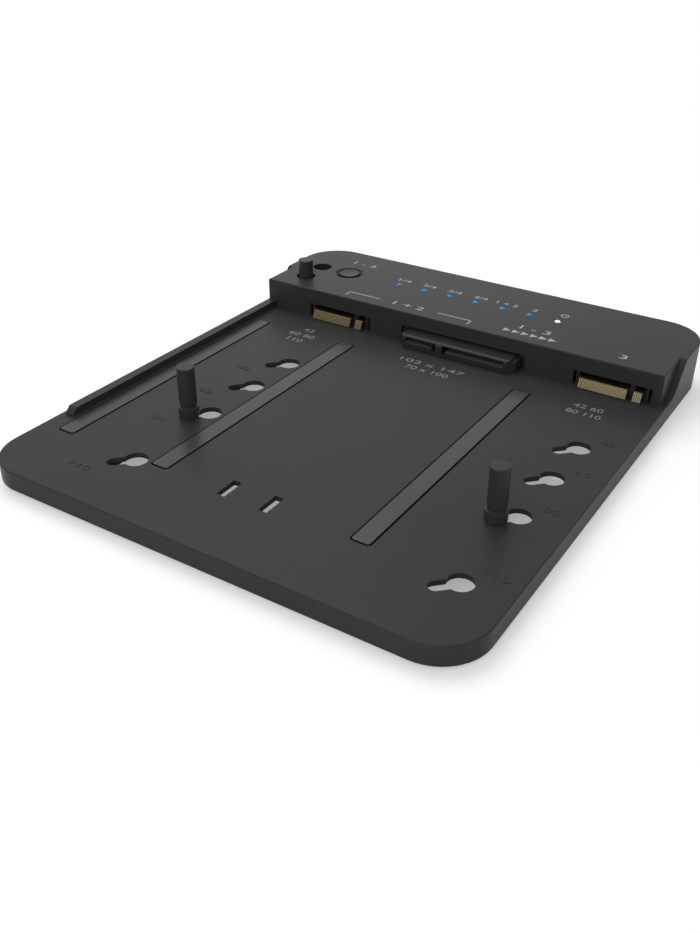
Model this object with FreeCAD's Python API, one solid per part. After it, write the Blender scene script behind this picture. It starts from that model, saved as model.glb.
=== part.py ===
"""Bench dock that copies one drive onto another, as separate pieces.

A thin open plate carries a 2.5 or 3.5 inch drive, or a card on each side, in front of a raised
header that holds the electronics. Frame: +Z up, +Y towards the rear ports, origin on the table
under the middle of the dock. Lengths are in millimetres.
"""
import FreeCAD, Part
import math
import os

V = FreeCAD.Vector
UP = V(0, 0, 1)

# ---- driving dimensions: outline --------------------------------------------------------------
LEFT_MARGIN = 4.95        # dock's left side to the rail face that a 3.5 inch drive lies against
LEFT_CARD_OFFSET = 26.1   # rail face to the left card's centre line
CARD_PITCH = 94.35        # left card's centre line to the right card's
RIGHT_MARGIN = 16.6       # right card's centre line to the dock's right side
FRONT_MARGIN = 18.0       # longest card's pin to the dock's front
HEADER_DEPTH = 39.1       # header's front face to the dock's rear
CORNER_R = 13.0
FOOT_PROUD = 1.0          # feet below the skirt
SKIRT_H = 5.5             # skirt's lower edge to the plate's top
HEADER_RISE = 9.4         # plate's top to the header's top
END_INSET = 1.9           # header's front part stands in from each side by this
RAMP_START = 6.65         # header's front face to the foot of the side ramp
RAMP_RUN = 7.35           # length of the side ramp
RAMP_FOOT_R = 8.7
RAMP_HEAD_R = 2.0
EDGE_R = 0.4              # softened outer edges
PLATE_T = 1.45
SKIRT_T = 1.8
HEADER_T = 1.6

# ---- driving dimensions: cards, pins and wells ------------------------------------------------
CARD_LENGTHS = (42.0, 60.0, 80.0, 110.0)
CARD_IN_USE = 80.0        # the keyhole where a pin stands at rest
CARD_SEAT_DEPTH = 3.1     # header's front face back to a seated card's end
CARD_T = 0.8
CARD_Z = 3.0              # plate's top to a seated card's underside
KEYHOLE_R = 3.3
KEYHOLE_SLOT_W = 3.5
KEYHOLE_STEP = 4.1        # slot end to round end, along X and along Y alike
PIN_GRIP_R = 2.5
PIN_COLLAR_R = 2.9
PIN_GROOVE_R = 2.1
PIN_NECK_PLAY = 0.1       # neck in the slot, all round
PIN_FOOT_PLAY = 0.25      # foot in the keyhole's round end, all round
PIN_FOOT_T = 2.5
PIN_GROOVE_H = 0.9
PIN_HEIGHT = 15.0         # plate's top to the pin's top
PIN_LIFT = 0.1            # collar above the plate, and foot below it
WELL_R = 3.25
WELL_WALL = 1.3
WELL_FROM_SIDE = 10.95    # dock's left side to the wells' centres
WELL_BACK = 9.4           # header's front face to the first well
WELL_PITCH = 10.3

# ---- driving dimensions: rail, strips, slots and ribs -----------------------------------------
RAIL_W = 2.9
RAIL_H = 2.4
RAIL_LEN = 95.5
RAIL_NOSE = 1.6           # chamfer at the rail's front end
RAIL_ROOT = 0.2           # small slope at the foot of the rail's face
STRIP_OFFSETS = (3.95, 37.45, 98.35)   # rail face to the strips' centre lines
STRIP_W = 5.1
STRIP_LEN = 89.4
STRIP_FROM_HEADER = 12.8
STRIP_T = 1.15
STRIP_PROUD = 0.15
STRIP_GAP = 0.4
STRIP_R = 0.8
TROUGH_WALL = 0.6
PLATE_SLOT_OFFSETS = (59.15, 72.05)    # rail face to the two small through slots
PLATE_SLOT_W = 2.5
PLATE_SLOT_LEN = 7.2
PLATE_SLOT_FROM_FRONT = 24.3
RIB_H = 0.75
RIB_W = 1.2
RIB_OFFSETS = (36.0, 102.0)            # dock's front to the two cross ribs
GUIDE_RIB_OFFSET = 3.4    # left card's centre line to the guide rib beside the pins' feet
GUIDE_RIB_DEPTH = 4.55    # plate's top to the guide rib's lower edge

# ---- driving dimensions: board and bottom cover -----------------------------------------------
BOARD_T = 1.6
BOARD_DROP = 0.1          # board's top below the plate's top
BOARD_GAP = 1.0
COVER_T = 1.6
COVER_PLAY = 0.2
BOSS_R = 2.8
FRONT_BOSS_OFFSETS = (17.4, 29.0)      # left card's and drive socket's centre lines to the bosses
REAR_BOSS_OFFSETS = (-3.0, 1.2)        # the two cards' centre lines to the bosses
BOSS_FROM_BOARD_FRONT = 5.0
BOSS_FROM_BOARD_REAR = 4.6
SCREW_R = 1.1
SCREW_PLAY = 0.05
SCREW_HEAD_R = 2.1
SCREW_HEAD_H = 1.2
TAB_W = 8.0
TAB_T = 1.0
VENT_W = 1.8
VENT_LEN = 13.0
VENT_PITCH = 4.6
VENT_COUNT = 7

# ---- driving dimensions: parts on the board -----------------------------------------------------
CHIP_FROM_LEDS = 6.8      # lights back to the row of chips
BRIDGE_CHIP_W = 10.0
CONTROLLER_CHIP_W = 12.0
CHIP_T = 1.0
BRIDGE_CHIP_OFFSETS = (6.0, -2.0)      # the two cards' centre lines to the chips
CONTROLLER_CHIP_OFFSET = -6.0          # drive socket's centre line to the chip
CRYSTAL_W = 3.2
CRYSTAL_D = 2.5
CRYSTAL_T = 0.8
CRYSTAL_R = 0.4
CRYSTAL_GAP = 2.0         # chip's side to the crystal beside it
SUPPLY_FROM_USB = 14.0    # USB socket to the first capacitor and coil
SUPPLY_PITCH = 8.0
CAN_R = 3.1
CAN_H = 5.6
CAN_BASE_W = 6.6
CAN_BASE_T = 0.8
CAN_COUNT = 3
CAN_FROM_BOARD_REAR = 6.0
COIL_W = 6.4
COIL_D = 5.8
COIL_H = 3.0
COIL_R = 1.0
COIL_COUNT = 2
COIL_FROM_BOARD_REAR = 12.5

# ---- driving dimensions: feet -----------------------------------------------------------------
FOOT_R = 5.0
FOOT_SEAT = 0.6           # depth that a foot sits in its recess
FOOT_PLAY = 0.15
FOOT_FROM_SIDE = 11.0
FOOT_FROM_FRONT = 11.0
FOOT_FROM_REAR = 9.5
REAR_FOOT_FROM_SIDE = 20.0
POST_R = 6.0

# ---- driving dimensions: card sockets ---------------------------------------------------------
M2_BODY_W = 22.0
M2_WINDOW_W = 23.8
M2_WINDOW_H = 4.4
M2_OVERHANG = 2.2         # socket's base in front of the header's face
M2_DEPTH = 9.4
M2_LIP_BACK = 3.1         # upper lip behind the front of the base
M2_CONTACT_PITCH = 0.5
M2_CONTACT_W = 0.34
M2_CONTACT_T = 0.2
M2_POSITIONS = 38
M2_KEY = range(29, 33)    # positions that the key takes away
M2_CONTACT_RUN = 4.6
M2_CONTACT_LEAN = 1.0     # contact's top behind its foot
M2_SLOT_PLAY = 0.15

# ---- driving dimensions: drive socket ---------------------------------------------------------
SATA_OFFSET = 71.5        # rail face to the middle of the socket
SATA_BODY_W = 37.0
SATA_PROUD = 5.5
SATA_H = 4.1
SATA_LIFT = 0.15
SATA_DEPTH = 11.0
SATA_DATA_W = 10.6
SATA_POWER_W = 21.1
SATA_WALL_W = 2.3         # wall between the two mouths
SATA_SLOT_H = 1.2
SATA_ROOF_T = 0.55
SATA_KEY_W = 1.3
SATA_KEY_H = 1.5
SATA_MOUTH_DEPTH = 5.2
SATA_LEAD = 0.7           # chamfer of the lower lip
SATA_NOSE_R = 1.3         # round of the upper front edge
SATA_CORNER = 0.9         # chamfer of the front corners
SATA_PIN_BACK = 1.7       # socket's front to the contacts
SATA_EAR_W = 1.5
SATA_EAR_BACK = 2.4
SATA_EAR_DROP = 0.7
SATA_FLANGE_T = 1.0
SATA_WINDOW_W = 43.6
SATA_WINDOW_H = 4.9
SATA_WINDOW_R = 1.5
SATA_DATA_COUNT = 7
SATA_POWER_COUNT = 15
SATA_PITCH = 1.27
SATA_PIN_W = 0.8
SATA_PIN_T = 0.2

# ---- driving dimensions: lights and start button ----------------------------------------------
LED_FROM_CARD = 11.35     # left card's centre line to the first light
LED_PITCH = 9.55
LED_COUNT = 7
LED_BACK = 19.6
PIPE_R = 0.9
PIPE_PLAY = 0.05
PIPE_BAR_W = 3.0
PIPE_BAR_T = 1.2
LED_L = 1.6
LED_W = 0.8
LED_H = 0.7
BUTTON_FROM_CARD = 8.9    # left card's centre line back to the button
BUTTON_BACK = 19.8
BUTTON_R = 3.45
BUTTON_PLAY = 0.2
BUTTON_CROWN = 0.15
BUTTON_DISH_R = 5.0
BUTTON_DISH_DEPTH = 1.1
BUTTON_TRAVEL = 0.8
BUTTON_FLANGE_R = 4.6
BUTTON_FLANGE_T = 0.9
BUTTON_STEM_R = 1.9
KEY_BODY = 6.0            # small square switch under the button
KEY_BODY_H = 3.4
PLUNGER_R = 1.6
PLUNGER_PLAY = 0.1

# ---- driving dimensions: rear ports -----------------------------------------------------------
POWER_FROM_CARD = 8.9     # left card's centre line to the power button
JACK_FROM_POWER = 19.0
USB_FROM_JACK = 20.0
POWER_CAP_R = 3.0
POWER_TRAVEL = 1.6
POWER_BODY = 6.0
POWER_BODY_DEPTH = 7.4
POWER_COLLAR_R = 3.8
POWER_COLLAR_T = 0.9
JACK_W = 9.0
JACK_H = 8.6
JACK_DEPTH = 13.4
JACK_NOSE_R = 4.1
JACK_BORE_R = 3.1
JACK_BORE_DEPTH = 9.6
JACK_PIN_R = 1.0
JACK_PIN_BACK = 0.8
USB_W = 8.94
USB_H = 3.26
USB_WALL = 0.3
USB_DEPTH = 7.6
USB_TONGUE_W = 6.7
USB_TONGUE_T = 0.7
USB_TONGUE_BACK = 1.6
USB_DISH = 1.4
USB_DISH_DEPTH = 0.7
PORT_PLAY = 0.15

# ---- places that follow from the sizes --------------------------------------------------------
WIDTH = LEFT_MARGIN + LEFT_CARD_OFFSET + CARD_PITCH + RIGHT_MARGIN
DEPTH = FRONT_MARGIN + max(CARD_LENGTHS) - CARD_SEAT_DEPTH + HEADER_DEPTH
LEFT_X = -WIDTH / 2
FRONT_Y = -DEPTH / 2
REAR_Y = DEPTH / 2
FACE_Y = REAR_Y - HEADER_DEPTH
PLATE_Z = FOOT_PROUD + SKIRT_H
HEADER_Z = PLATE_Z + HEADER_RISE
CEILING_Z = HEADER_Z - HEADER_T
RAIL_X = LEFT_X + LEFT_MARGIN
CARD_XS = (RAIL_X + LEFT_CARD_OFFSET, RAIL_X + LEFT_CARD_OFFSET + CARD_PITCH)
CARD_END_Y = FACE_Y + CARD_SEAT_DEPTH
SATA_X = RAIL_X + SATA_OFFSET
WELL_X = LEFT_X + WELL_FROM_SIDE
WELL_YS = (FACE_Y + WELL_BACK, FACE_Y + WELL_BACK + WELL_PITCH)
CAVITY_Y = FACE_Y + HEADER_T
CAVITY_REAR_Y = REAR_Y - SKIRT_T
RAMP_END_Y = FACE_Y + RAMP_START + RAMP_RUN
COVER_TOP = FOOT_PROUD + COVER_T
BOARD_TOP = PLATE_Z - BOARD_DROP
BOARD_Z = BOARD_TOP - BOARD_T
BOARD_Y0 = CAVITY_Y + BOARD_GAP
BOARD_Y1 = CAVITY_REAR_Y - BOARD_GAP
BOARD_X0 = WELL_X + WELL_R + WELL_WALL + BOARD_GAP
BOARD_X1 = WIDTH / 2 - END_INSET - HEADER_T - BOARD_GAP
PIN_BOTTOM = PLATE_Z - PLATE_T - PIN_LIFT - PIN_FOOT_T
PIN_STORED_DROP = PIN_BOTTOM - COVER_TOP - PIN_LIFT
LED_XS = [CARD_XS[0] + LED_FROM_CARD + LED_PITCH * i for i in range(LED_COUNT)]
LED_Y = FACE_Y + LED_BACK
BUTTON_X = CARD_XS[0] - BUTTON_FROM_CARD
BUTTON_Y = FACE_Y + BUTTON_BACK
POWER_X = CARD_XS[0] + POWER_FROM_CARD
JACK_X = POWER_X + JACK_FROM_POWER
USB_X = JACK_X + USB_FROM_JACK
POWER_AXIS_Z = BOARD_TOP + POWER_BODY / 2
POWER_COLLAR_Y = REAR_Y - SKIRT_T - POWER_COLLAR_T - PLUNGER_PLAY
POWER_BODY_Y = POWER_COLLAR_Y - POWER_TRAVEL - PLUNGER_PLAY
JACK_Z = (COVER_TOP + CEILING_Z) / 2
USB_Z = BOARD_TOP + USB_H / 2
BOARD_BOSSES = ((CARD_XS[0] + FRONT_BOSS_OFFSETS[0], BOARD_Y0 + BOSS_FROM_BOARD_FRONT),
                (SATA_X + FRONT_BOSS_OFFSETS[1], BOARD_Y0 + BOSS_FROM_BOARD_FRONT),
                (CARD_XS[0] + REAR_BOSS_OFFSETS[0], BOARD_Y1 - BOSS_FROM_BOARD_REAR),
                (CARD_XS[1] + REAR_BOSS_OFFSETS[1], BOARD_Y1 - BOSS_FROM_BOARD_REAR))
CHIP_Y = LED_Y - CHIP_FROM_LEDS
SUPPLY_X = USB_X + SUPPLY_FROM_USB
CORNER_INSET = CORNER_R - (CORNER_R - SKIRT_T - BOSS_R - 1.0) / math.sqrt(2)
COVER_BOSSES = [(side * (WIDTH / 2 - CORNER_INSET), REAR_Y - CORNER_INSET) for side in (-1, 1)]
TAB_XS = (CARD_XS[0] + M2_WINDOW_W / 2 + 5.0, CARD_XS[1] - M2_WINDOW_W / 2 - 5.0)
FRONT_FEET = [(side * (WIDTH / 2 - FOOT_FROM_SIDE), FRONT_Y + FOOT_FROM_FRONT) for side in (-1, 1)]
REAR_FEET = [(side * (WIDTH / 2 - REAR_FOOT_FROM_SIDE), REAR_Y - FOOT_FROM_REAR) for side in (-1, 1)]


# ---- small helpers ----------------------------------------------------------------------------
def block(x0, x1, y0, y1, z0, z1):
    """Box between two corners."""
    return Part.makeBox(x1 - x0, y1 - y0, z1 - z0, V(x0, y0, z0))


def rod(x, y, z0, z1, radius):
    """Upright cylinder."""
    return Part.makeCylinder(radius, z1 - z0, V(x, y, z0), UP)


def rear_rod(x, z, y0, y1, radius):
    """Cylinder along Y."""
    return Part.makeCylinder(radius, y1 - y0, V(x, y0, z), V(0, 1, 0))


def cone(x, y, z0, z1, low_r, high_r):
    """Upright cone."""
    return Part.makeCone(low_r, high_r, z1 - z0, V(x, y, z0), UP)


def join(shapes):
    """One solid out of shapes that touch or overlap."""
    shapes = list(shapes)
    return shapes[0].multiFuse(shapes[1:]).removeSplitter() if len(shapes) > 1 else shapes[0]


def cut(shape, tools):
    """Shape without the tools."""
    return shape.cut(Part.makeCompound(list(tools)))


def group(shapes):
    """Separate solids kept in one node."""
    return Part.makeCompound(list(shapes))


def prism(points, direction):
    """Straight-sided prism over a closed polygon."""
    wire = Part.makePolygon([V(*p) for p in points] + [V(*points[0])])
    return Part.Face(wire).extrude(direction)


def round_block(x0, x1, y0, y1, z0, z1, radius):
    """Box with its four upright edges rounded."""
    solid = block(x0, x1, y0, y1, z0, z1)
    upright = [e for e in solid.Edges if abs(e.Vertexes[0].Z - e.Vertexes[1].Z) > (z1 - z0) / 2]
    return solid.makeFillet(radius, upright)


def stadium(x, z, width, height, y0, y1):
    """Bar along Y with a full round at each side."""
    radius = height / 2
    reach = width / 2 - radius
    middle = block(x - reach, x + reach, y0, y1, z - radius, z + radius)
    ends = [rear_rod(x + side * reach, z, y0, y1, radius) for side in (-1, 1)]
    return join([middle] + ends)


def turned(profile, x, y):
    """Solid of revolution about an upright axis, from (radius, height) pairs."""
    wire = Part.makePolygon([V(x + r, y, z) for r, z in profile + profile[:1]])
    return Part.Face(wire).revolve(V(x, y, 0), UP, 360)


# ---- shell --------------------------------------------------------------------------------------
def outline(inset, z0, z1):
    """Dock's rounded rectangle, drawn in by inset."""
    return round_block(-WIDTH / 2 + inset, WIDTH / 2 - inset, FRONT_Y + inset, REAR_Y - inset,
                       z0, z1, CORNER_R - inset)


def header_zone(inset, z0, z1):
    """Space inside the header's walls, drawn in further by inset."""
    half = WIDTH / 2 - END_INSET - HEADER_T - inset
    front = block(-half, half, CAVITY_Y + inset, RAMP_END_Y + HEADER_T + inset, z0, z1)
    behind = block(-WIDTH, WIDTH, RAMP_END_Y + HEADER_T + inset, REAR_Y, z0, z1)
    return join([front, outline(SKIRT_T + inset, z0, z1).common(behind)])


def ramp_prism():
    """Full-width body under the side ramps: flat, a hollow curve, a slope, a round, flat."""
    foot = V(0, FACE_Y + RAMP_START, PLATE_Z)
    head = V(0, RAMP_END_Y, HEADER_Z)
    slope = math.atan2(HEADER_RISE, RAMP_RUN)
    foot_reach = RAMP_FOOT_R * math.tan(slope / 2)
    head_reach = RAMP_HEAD_R * math.tan(slope / 2)
    along = V(0, math.cos(slope), math.sin(slope))
    a, b = foot - V(0, foot_reach, 0), foot + along * foot_reach
    c, d = head - along * head_reach, head + V(0, head_reach, 0)
    foot_mid = a + V(0, RAMP_FOOT_R * math.sin(slope / 2), RAMP_FOOT_R * (1 - math.cos(slope / 2)))
    head_mid = d - V(0, RAMP_HEAD_R * math.sin(slope / 2), RAMP_HEAD_R * (1 - math.cos(slope / 2)))
    far, low = REAR_Y + 1, FOOT_PROUD
    edges = [Part.Arc(a, foot_mid, b).toShape(), Part.makeLine(b, c),
             Part.Arc(c, head_mid, d).toShape(), Part.makeLine(d, V(0, far, HEADER_Z)),
             Part.makeLine(V(0, far, HEADER_Z), V(0, far, low)),
             Part.makeLine(V(0, far, low), V(0, a.y, low)), Part.makeLine(V(0, a.y, low), a)]
    face = Part.Face(Part.Wire(edges))
    face.translate(V(-WIDTH, 0, 0))
    return face.extrude(V(2 * WIDTH, 0, 0))


def shell_outside():
    """Plate and header as one solid body, with softened upper edges."""
    plate = outline(0, FOOT_PROUD, PLATE_Z)
    rim = [e for e in plate.Edges if min(v.Z for v in e.Vertexes) > PLATE_Z - EDGE_R]
    plate = plate.makeFillet(EDGE_R, rim)
    half = WIDTH / 2 - END_INSET
    front = block(-half, half, FACE_Y, REAR_Y, FOOT_PROUD, HEADER_Z)
    header = outline(0, FOOT_PROUD, HEADER_Z).common(join([front, ramp_prism()]))
    top = [e for e in header.Edges if min(v.Z for v in e.Vertexes) > HEADER_Z - EDGE_R]
    header = header.makeFillet(EDGE_R, top)
    return join([plate, header])


def keyhole(x, length, z0, z1):
    """Keyhole for the pin of a card: narrow end on the card's centre line, round end behind it."""
    y = CARD_END_Y - length
    slot = rod(x, y, z0, z1, KEYHOLE_SLOT_W / 2)
    entry = rod(x + KEYHOLE_STEP, y + KEYHOLE_STEP, z0, z1, KEYHOLE_R)
    reach = KEYHOLE_STEP * math.sqrt(2)
    channel = block(0, reach, -KEYHOLE_SLOT_W / 2, KEYHOLE_SLOT_W / 2, z0, z1)
    channel.rotate(V(0, 0, 0), UP, 45)
    channel.translate(V(x, y, 0))
    return join([slot, entry, channel])


def strip_block(offset, grow, z0, z1):
    """Strip, or with grow its recess or the trough under it."""
    x = RAIL_X + offset
    y1 = FACE_Y - STRIP_FROM_HEADER
    return round_block(x - STRIP_W / 2 - grow, x + STRIP_W / 2 + grow, y1 - STRIP_LEN - grow,
                       y1 + grow, z0, z1, STRIP_R + grow)


def rail():
    """Low side rail that a 3.5 inch drive lies against, with a sloped front end."""
    y0 = FACE_Y - RAIL_LEN
    points = [(RAIL_X - RAIL_W, y0, PLATE_Z - PLATE_T / 2),
              (RAIL_X - RAIL_W, y0, PLATE_Z + RAIL_H - RAIL_NOSE),
              (RAIL_X - RAIL_W, y0 + RAIL_NOSE, PLATE_Z + RAIL_H),
              (RAIL_X - RAIL_W, FACE_Y + HEADER_T / 2, PLATE_Z + RAIL_H),
              (RAIL_X - RAIL_W, FACE_Y + HEADER_T / 2, PLATE_Z - PLATE_T / 2)]
    face_y1 = points[3][1]
    root = prism([(RAIL_X, y0, PLATE_Z - RAIL_ROOT), (RAIL_X + RAIL_ROOT, y0, PLATE_Z - RAIL_ROOT),
                  (RAIL_X + RAIL_ROOT, y0, PLATE_Z), (RAIL_X, y0, PLATE_Z + RAIL_ROOT)],
                 V(0, face_y1 - y0, 0))
    return join([prism(points, V(RAIL_W, 0, 0)), root])


def wells(radius, z0):
    """Upright stores for spare pins."""
    return [rod(WELL_X, y, z0, HEADER_Z, radius) for y in WELL_YS]


def sata_window():
    """Rounded window in the header's face around the drive socket."""
    half, far = SATA_WINDOW_W / 2, CAVITY_Y + 0.5
    tall = block(SATA_X - half, SATA_X + half, FACE_Y - 1, far, PLATE_Z, PLATE_Z + SATA_WINDOW_H)
    along = [e for e in tall.Edges if abs(e.Vertexes[0].Y - e.Vertexes[1].Y) > 1
             and e.Vertexes[0].Z > PLATE_Z + 1]
    return tall.makeFillet(SATA_WINDOW_R, along)


def rear_port_holes():
    """Openings in the rear wall for the power button, the DC jack and the USB socket."""
    y0, y1 = CAVITY_REAR_Y - 0.5, REAR_Y + 1
    return [rear_rod(POWER_X, POWER_AXIS_Z, y0, y1, POWER_CAP_R + BUTTON_PLAY),
            rear_rod(JACK_X, JACK_Z, y0, y1, JACK_NOSE_R + PORT_PLAY),
            stadium(USB_X, USB_Z, USB_W + 2 * PORT_PLAY, USB_H + 2 * PORT_PLAY, y0, y1),
            stadium(USB_X, USB_Z, USB_W + 2 * USB_DISH, USB_H + 2 * USB_DISH,
                    REAR_Y - USB_DISH_DEPTH, y1)]


def top_shell():
    """Moulding that is plate, skirt and header in one."""
    under = outline(SKIRT_T, FOOT_PROUD, PLATE_Z - PLATE_T)
    ahead = block(-WIDTH, WIDTH, FRONT_Y, FACE_Y, FOOT_PROUD, PLATE_Z)
    body = cut(shell_outside(), [under.common(ahead), header_zone(0, FOOT_PROUD, CEILING_Z)])

    trough_z = PLATE_Z + STRIP_PROUD - STRIP_T
    troughs = [strip_block(o, STRIP_GAP + TROUGH_WALL, PLATE_Z - PLATE_T - RIB_H, PLATE_Z - PLATE_T / 2)
               for o in STRIP_OFFSETS]
    half = WIDTH / 2 - SKIRT_T / 2
    ribs = [block(-half, half, FRONT_Y + o - RIB_W / 2, FRONT_Y + o + RIB_W / 2,
                  PLATE_Z - PLATE_T - RIB_H, PLATE_Z - PLATE_T / 2) for o in RIB_OFFSETS]
    guide_x = CARD_XS[0] - GUIDE_RIB_OFFSET
    guide_y = CARD_END_Y - max(CARD_LENGTHS) - KEYHOLE_R
    ribs.append(block(guide_x - RIB_W, guide_x, guide_y, FACE_Y + HEADER_T / 2,
                      PLATE_Z - GUIDE_RIB_DEPTH, PLATE_Z - PLATE_T / 2))
    posts = [rod(x, y, FOOT_PROUD, PLATE_Z - PLATE_T / 2, POST_R) for x, y in FRONT_FEET]
    tubes = wells(WELL_R + WELL_WALL, COVER_TOP + COVER_PLAY)
    bosses = [rod(x, y, BOARD_TOP, HEADER_Z - HEADER_T / 2, BOSS_R) for x, y in BOARD_BOSSES]
    bosses += [rod(x, y, COVER_TOP, HEADER_Z - HEADER_T / 2, BOSS_R) for x, y in COVER_BOSSES]
    body = join([body, rail()] + troughs + ribs + posts + tubes + bosses)

    holes = [keyhole(x, length, PLATE_Z - 2 * PLATE_T, PLATE_Z + 1)
             for x in CARD_XS for length in CARD_LENGTHS]
    holes += [strip_block(o, STRIP_GAP, trough_z, PLATE_Z + 1) for o in STRIP_OFFSETS]
    slot_y = FRONT_Y + PLATE_SLOT_FROM_FRONT
    holes += [block(RAIL_X + o - PLATE_SLOT_W / 2, RAIL_X + o + PLATE_SLOT_W / 2,
                    slot_y - PLATE_SLOT_LEN / 2, slot_y + PLATE_SLOT_LEN / 2,
                    PLATE_Z - 2 * PLATE_T, PLATE_Z + 1) for o in PLATE_SLOT_OFFSETS]
    holes += [rod(x, y, 0, FOOT_PROUD + FOOT_SEAT, FOOT_R + FOOT_PLAY) for x, y in FRONT_FEET]
    holes += wells(WELL_R, 0)
    holes += [rod(WELL_X, y, HEADER_Z - 1, HEADER_Z + 1, WELL_R) for y in WELL_YS]
    holes += [block(x - M2_WINDOW_W / 2, x + M2_WINDOW_W / 2, FACE_Y - 1, CAVITY_Y + 0.5,
                    PLATE_Z, PLATE_Z + M2_WINDOW_H) for x in CARD_XS]
    holes.append(sata_window())
    holes += [rod(x, LED_Y, CEILING_Z - 1, HEADER_Z + 1, PIPE_R + PIPE_PLAY) for x in LED_XS]
    holes.append(rod(BUTTON_X, BUTTON_Y, CEILING_Z - 1, HEADER_Z + 1, BUTTON_R + BUTTON_PLAY))
    holes.append(cone(BUTTON_X, BUTTON_Y, HEADER_Z - BUTTON_DISH_DEPTH, HEADER_Z,
                      BUTTON_R + BUTTON_PLAY, BUTTON_DISH_R))
    pilot = SCREW_R + SCREW_PLAY
    holes += [rod(x, y, BOARD_TOP, CEILING_Z - 1, pilot) for x, y in BOARD_BOSSES]
    holes += [rod(x, y, COVER_TOP, CEILING_Z - 1, pilot) for x, y in COVER_BOSSES]
    holes += [block(x - TAB_W / 2 - COVER_PLAY, x + TAB_W / 2 + COVER_PLAY, FACE_Y + HEADER_T / 2,
                    CAVITY_Y + 1, COVER_TOP - TAB_T - COVER_PLAY, COVER_TOP + COVER_PLAY) for x in TAB_XS]
    holes += rear_port_holes()
    return cut(body, holes)


def bottom_cover():
    """Flat cover that closes the header from below, hooked in front and screwed at the rear."""
    plate = header_zone(COVER_PLAY, FOOT_PROUD, COVER_TOP)
    tabs = [block(x - TAB_W / 2, x + TAB_W / 2, FACE_Y + HEADER_T / 2 + COVER_PLAY, CAVITY_Y + 1,
                  COVER_TOP - TAB_T, COVER_TOP) for x in TAB_XS]
    plate = join([plate] + tabs)
    holes = [rod(x, y, 0, FOOT_PROUD + FOOT_SEAT, FOOT_R + FOOT_PLAY) for x, y in REAR_FEET]
    for x, y in COVER_BOSSES:
        holes.append(rod(x, y, 0, COVER_TOP + 1, SCREW_R + SCREW_PLAY))
        holes.append(rod(x, y, 0, FOOT_PROUD + COVER_T / 2, SCREW_HEAD_R + PORT_PLAY))
    middle = (CAVITY_Y + CAVITY_REAR_Y) / 2
    for i in range(VENT_COUNT):
        x = (i - (VENT_COUNT - 1) / 2) * VENT_PITCH
        holes.append(round_block(x - VENT_W / 2, x + VENT_W / 2, middle - VENT_LEN / 2,
                                 middle + VENT_LEN / 2, 0, COVER_TOP + 1, VENT_W / 2 - 0.05))
    return cut(plate, holes)


def cover_screws():
    """Two screws that hold the bottom cover."""
    head_z = FOOT_PROUD + COVER_T / 2
    return group(join([rod(x, y, head_z - SCREW_HEAD_H / 2, head_z, SCREW_HEAD_R),
                       rod(x, y, head_z, COVER_TOP + 5 * SCREW_R, SCREW_R)])
                 for x, y in COVER_BOSSES)


def rubber_feet():
    """Four round feet, each let into its recess."""
    return group(foot(x, y) for x, y in FRONT_FEET + REAR_FEET)


def foot(x, y):
    """One foot with a softened lower edge."""
    soft = FOOT_PROUD / 3
    top = FOOT_PROUD + FOOT_SEAT
    return turned([(0, 0), (FOOT_R - soft, 0), (FOOT_R, soft), (FOOT_R, top), (0, top)], x, y)


# ---- cards' pins ----------------------------------------------------------------------------------
def card_pin(x, y, drop):
    """Card pin: foot and neck for the keyhole, collar and groove for the card's end, grip."""
    z = PLATE_Z - drop
    neck_r = KEYHOLE_SLOT_W / 2 - PIN_NECK_PLAY
    foot_r = KEYHOLE_R - PIN_FOOT_PLAY
    foot_top = z - PLATE_T - PIN_LIFT
    soft = PIN_FOOT_T / 5
    groove = z + CARD_Z
    top = z + PIN_HEIGHT
    profile = [(0, foot_top - PIN_FOOT_T), (foot_r - soft, foot_top - PIN_FOOT_T),
               (foot_r, foot_top - PIN_FOOT_T + soft), (foot_r, foot_top), (neck_r, foot_top),
               (neck_r, z + PIN_LIFT), (PIN_COLLAR_R, z + PIN_LIFT), (PIN_COLLAR_R, groove),
               (PIN_GROOVE_R, groove), (PIN_GROOVE_R, groove + PIN_GROOVE_H),
               (PIN_GRIP_R, groove + PIN_GROOVE_H + (PIN_GRIP_R - PIN_GROOVE_R) / 2),
               (PIN_GRIP_R, top - soft / 2), (PIN_GRIP_R - soft / 2, top), (0, top)]
    return turned(profile, x, y)


# ---- board and what stands on it --------------------------------------------------------------------
def main_board():
    """Circuit board, notched for the jack, for the power button's collar and for a cover boss."""
    rear_x1 = COVER_BOSSES[1][0] - BOSS_R - BOARD_GAP
    step_y = RAMP_END_Y
    board = join([block(BOARD_X0, BOARD_X1, BOARD_Y0, step_y, BOARD_Z, BOARD_TOP),
                  block(BOARD_X0, rear_x1, step_y, BOARD_Y1, BOARD_Z, BOARD_TOP)])
    notch = JACK_W / 2 + PORT_PLAY
    holes = [block(JACK_X - notch, JACK_X + notch, REAR_Y - JACK_DEPTH - PORT_PLAY, REAR_Y,
                   BOARD_Z - 1, BOARD_TOP + 1),
             block(POWER_X - POWER_COLLAR_R - PORT_PLAY, POWER_X + POWER_COLLAR_R + PORT_PLAY,
                   POWER_COLLAR_Y - POWER_TRAVEL - PORT_PLAY, REAR_Y, BOARD_Z - 1, BOARD_TOP + 1)]
    holes += [rod(x, y, BOARD_Z - 1, BOARD_TOP + 1, SCREW_R + PORT_PLAY) for x, y in BOARD_BOSSES]
    return cut(board, holes)


def board_screws():
    """Screws that hold the board against its bosses."""
    return group(join([rod(x, y, BOARD_Z - SCREW_HEAD_H, BOARD_Z, SCREW_HEAD_R),
                       rod(x, y, BOARD_Z, BOARD_TOP + 4 * SCREW_R, SCREW_R)])
                 for x, y in BOARD_BOSSES)


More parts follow.
